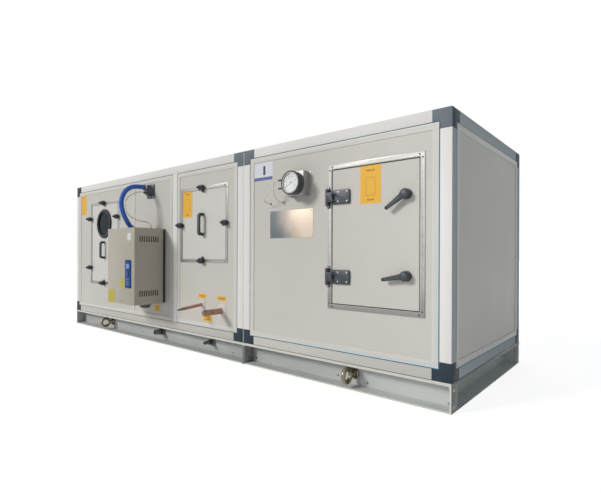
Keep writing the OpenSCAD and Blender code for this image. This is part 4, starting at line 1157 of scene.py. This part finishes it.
class UNIT_OT_fittings(bpy.types.Operator):
    """Gauge face, hose clamp and keypad"""

    bl_idname = "unit.fittings"
    bl_label = "Gauge and fittings"

    def execute(self, context):
        self.gauge()
        self.clamp()
        self.keypad()
        return {"FINISHED"}

    def gauge(self):
        """Bright ring, dark rim, and the print and pointer of the dial."""
        centre, width, _ = front_of("gauge_dial")
        radius = width / 2
        ring = loop(radius, wall=0.0045, height=0.0074, edge=0.0008)
        done("gauge_ring", [put(ring, centre)], "strip")
        rim_out, clearance = 0.0066, 0.0001
        bezel = Vector((centre.x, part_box("gauge_body")[0].y - clearance, centre.z))
        rim = loop(radius + rim_out, wall=0.0030, height=0.0012, edge=0.0004)
        done("gauge_rim", [put(rim, bezel)], "ring")
        first, last, ink = -120, 120, 0.0002
        long_tick, short_tick = slab(0.0008, 0.0060, ink), slab(0.0004, 0.0034, ink)
        marks = round_about(long_tick, centre, radius * 0.80, range(first, last + 1, 24))
        marks += round_about(short_tick, centre, radius * 0.82, range(first, last + 1, 6))
        for figure, angle in enumerate(range(first, last + 1, 48)):
            marks.append(self.numeral(str(figure), on_circle(centre, radius * 0.60, angle)))
        marks.append(put(disc(radius=0.0040, height=0.0012, sides=24), centre))
        done("dial_marks", marks, "mark")
        taper, reading = 0.3, math.radians(125)
        needle = block(size=(0.0016, 0.036, 0.0003), centre=(0, 0.012, 0.0010))
        pick(needle, lambda face: face.normal.y > 0.9)
        edit(needle, (bpy.ops.transform.resize, {"value": (taper, 1, 1)}))
        done("dial_needle", [put(needle, centre, spin=reading)], "pointer")

    def numeral(self, figure, point):
        """One figure on the dial, as a thin mesh."""
        ink = 0.0001
        data = bpy.data.curves.new("figure", "FONT")
        data.body = figure
        data.size = 0.012
        data.align_x = "CENTER"
        data.align_y = "CENTER"
        data.extrude = ink
        made = bpy.data.objects.new("figure", data)
        bpy.context.collection.objects.link(made)
        only(made)
        bpy.ops.object.convert(target="MESH")
        return put(bpy.context.object, point + FRONT * ink)

    def clamp(self):
        """Bright band with its screw around the steam hose at the inlet."""
        from_end, turn = 0.018, 0.5
        place = Vector(STEAM_ROUTE[-1]) + BACK * from_end
        band = put(loop(radius=0.0212, wall=0.0011, height=0.012, edge=0.0003), place)
        housing = round_edges(block(size=(0.016, 0.008, 0.009), centre=(0, 0.0245, 0.006)), 0.0015)
        done("hose_clamp", [band, put(housing, place, spin=turn)], "steel")

    def keypad(self):
        """Window, button and three keys; drops are shares of the panel's height from its top."""
        middle, _, tall = front_of("humidifier_control_panel")
        thick, edge = 0.0008, 0.0003

        def at(drop):
            return middle + UP * tall * (0.5 - drop)

        window = round_edges(slab(0.040, 0.030, thick), edge)
        done("keypad_window", [put(window, at(0.22))], "display")
        button = round_edges(disc(0.0125, 0.0030), 0.0009, segments=3, angle=60)
        done("keypad_button", [put(button, at(0.50))], "button")
        keys = [put(round_edges(slab(0.032, 0.005, thick), edge), at(0.68 + 0.09 * i)) for i in range(3)]
        done("keypad_keys", keys, "display")


class UNIT_PT_panel(bpy.types.Panel):
    """Lists the steps and the settings"""

    bl_idname = "UNIT_PT_panel"
    bl_label = "Air handling unit"
    bl_space_type = "VIEW_3D"
    bl_region_type = "UI"
    bl_category = "Air Unit"

    def draw(self, context):
        for step in STEPS:
            self.layout.operator(step.bl_idname)
        for group in (context.scene.unit_colours, context.scene.unit_sizes):
            for key in type(group).__annotations__:
                self.layout.prop(group, key)


STEPS = (
    UNIT_OT_stage, UNIT_OT_hoses, UNIT_OT_casing, UNIT_OT_seals, UNIT_OT_labels, UNIT_OT_fasteners,
    UNIT_OT_fittings)
CLASSES = (UnitColours, UnitSizes, *STEPS, UNIT_PT_panel)


def register():
    for cls in CLASSES:
        bpy.utils.register_class(cls)
    bpy.types.Scene.unit_colours = PointerProperty(type=UnitColours)
    bpy.types.Scene.unit_sizes = PointerProperty(type=UnitSizes)


def unregister():
    del bpy.types.Scene.unit_sizes
    del bpy.types.Scene.unit_colours
    for cls in reversed(CLASSES):
        bpy.utils.unregister_class(cls)


def main():
    register()
    FINISHES.update(make_finishes(bpy.context.scene.unit_colours))
    for step in STEPS:
        group, name = step.bl_idname.split(".")
        getattr(getattr(bpy.ops, group), name)()


if __name__ == "__main__":
    main()
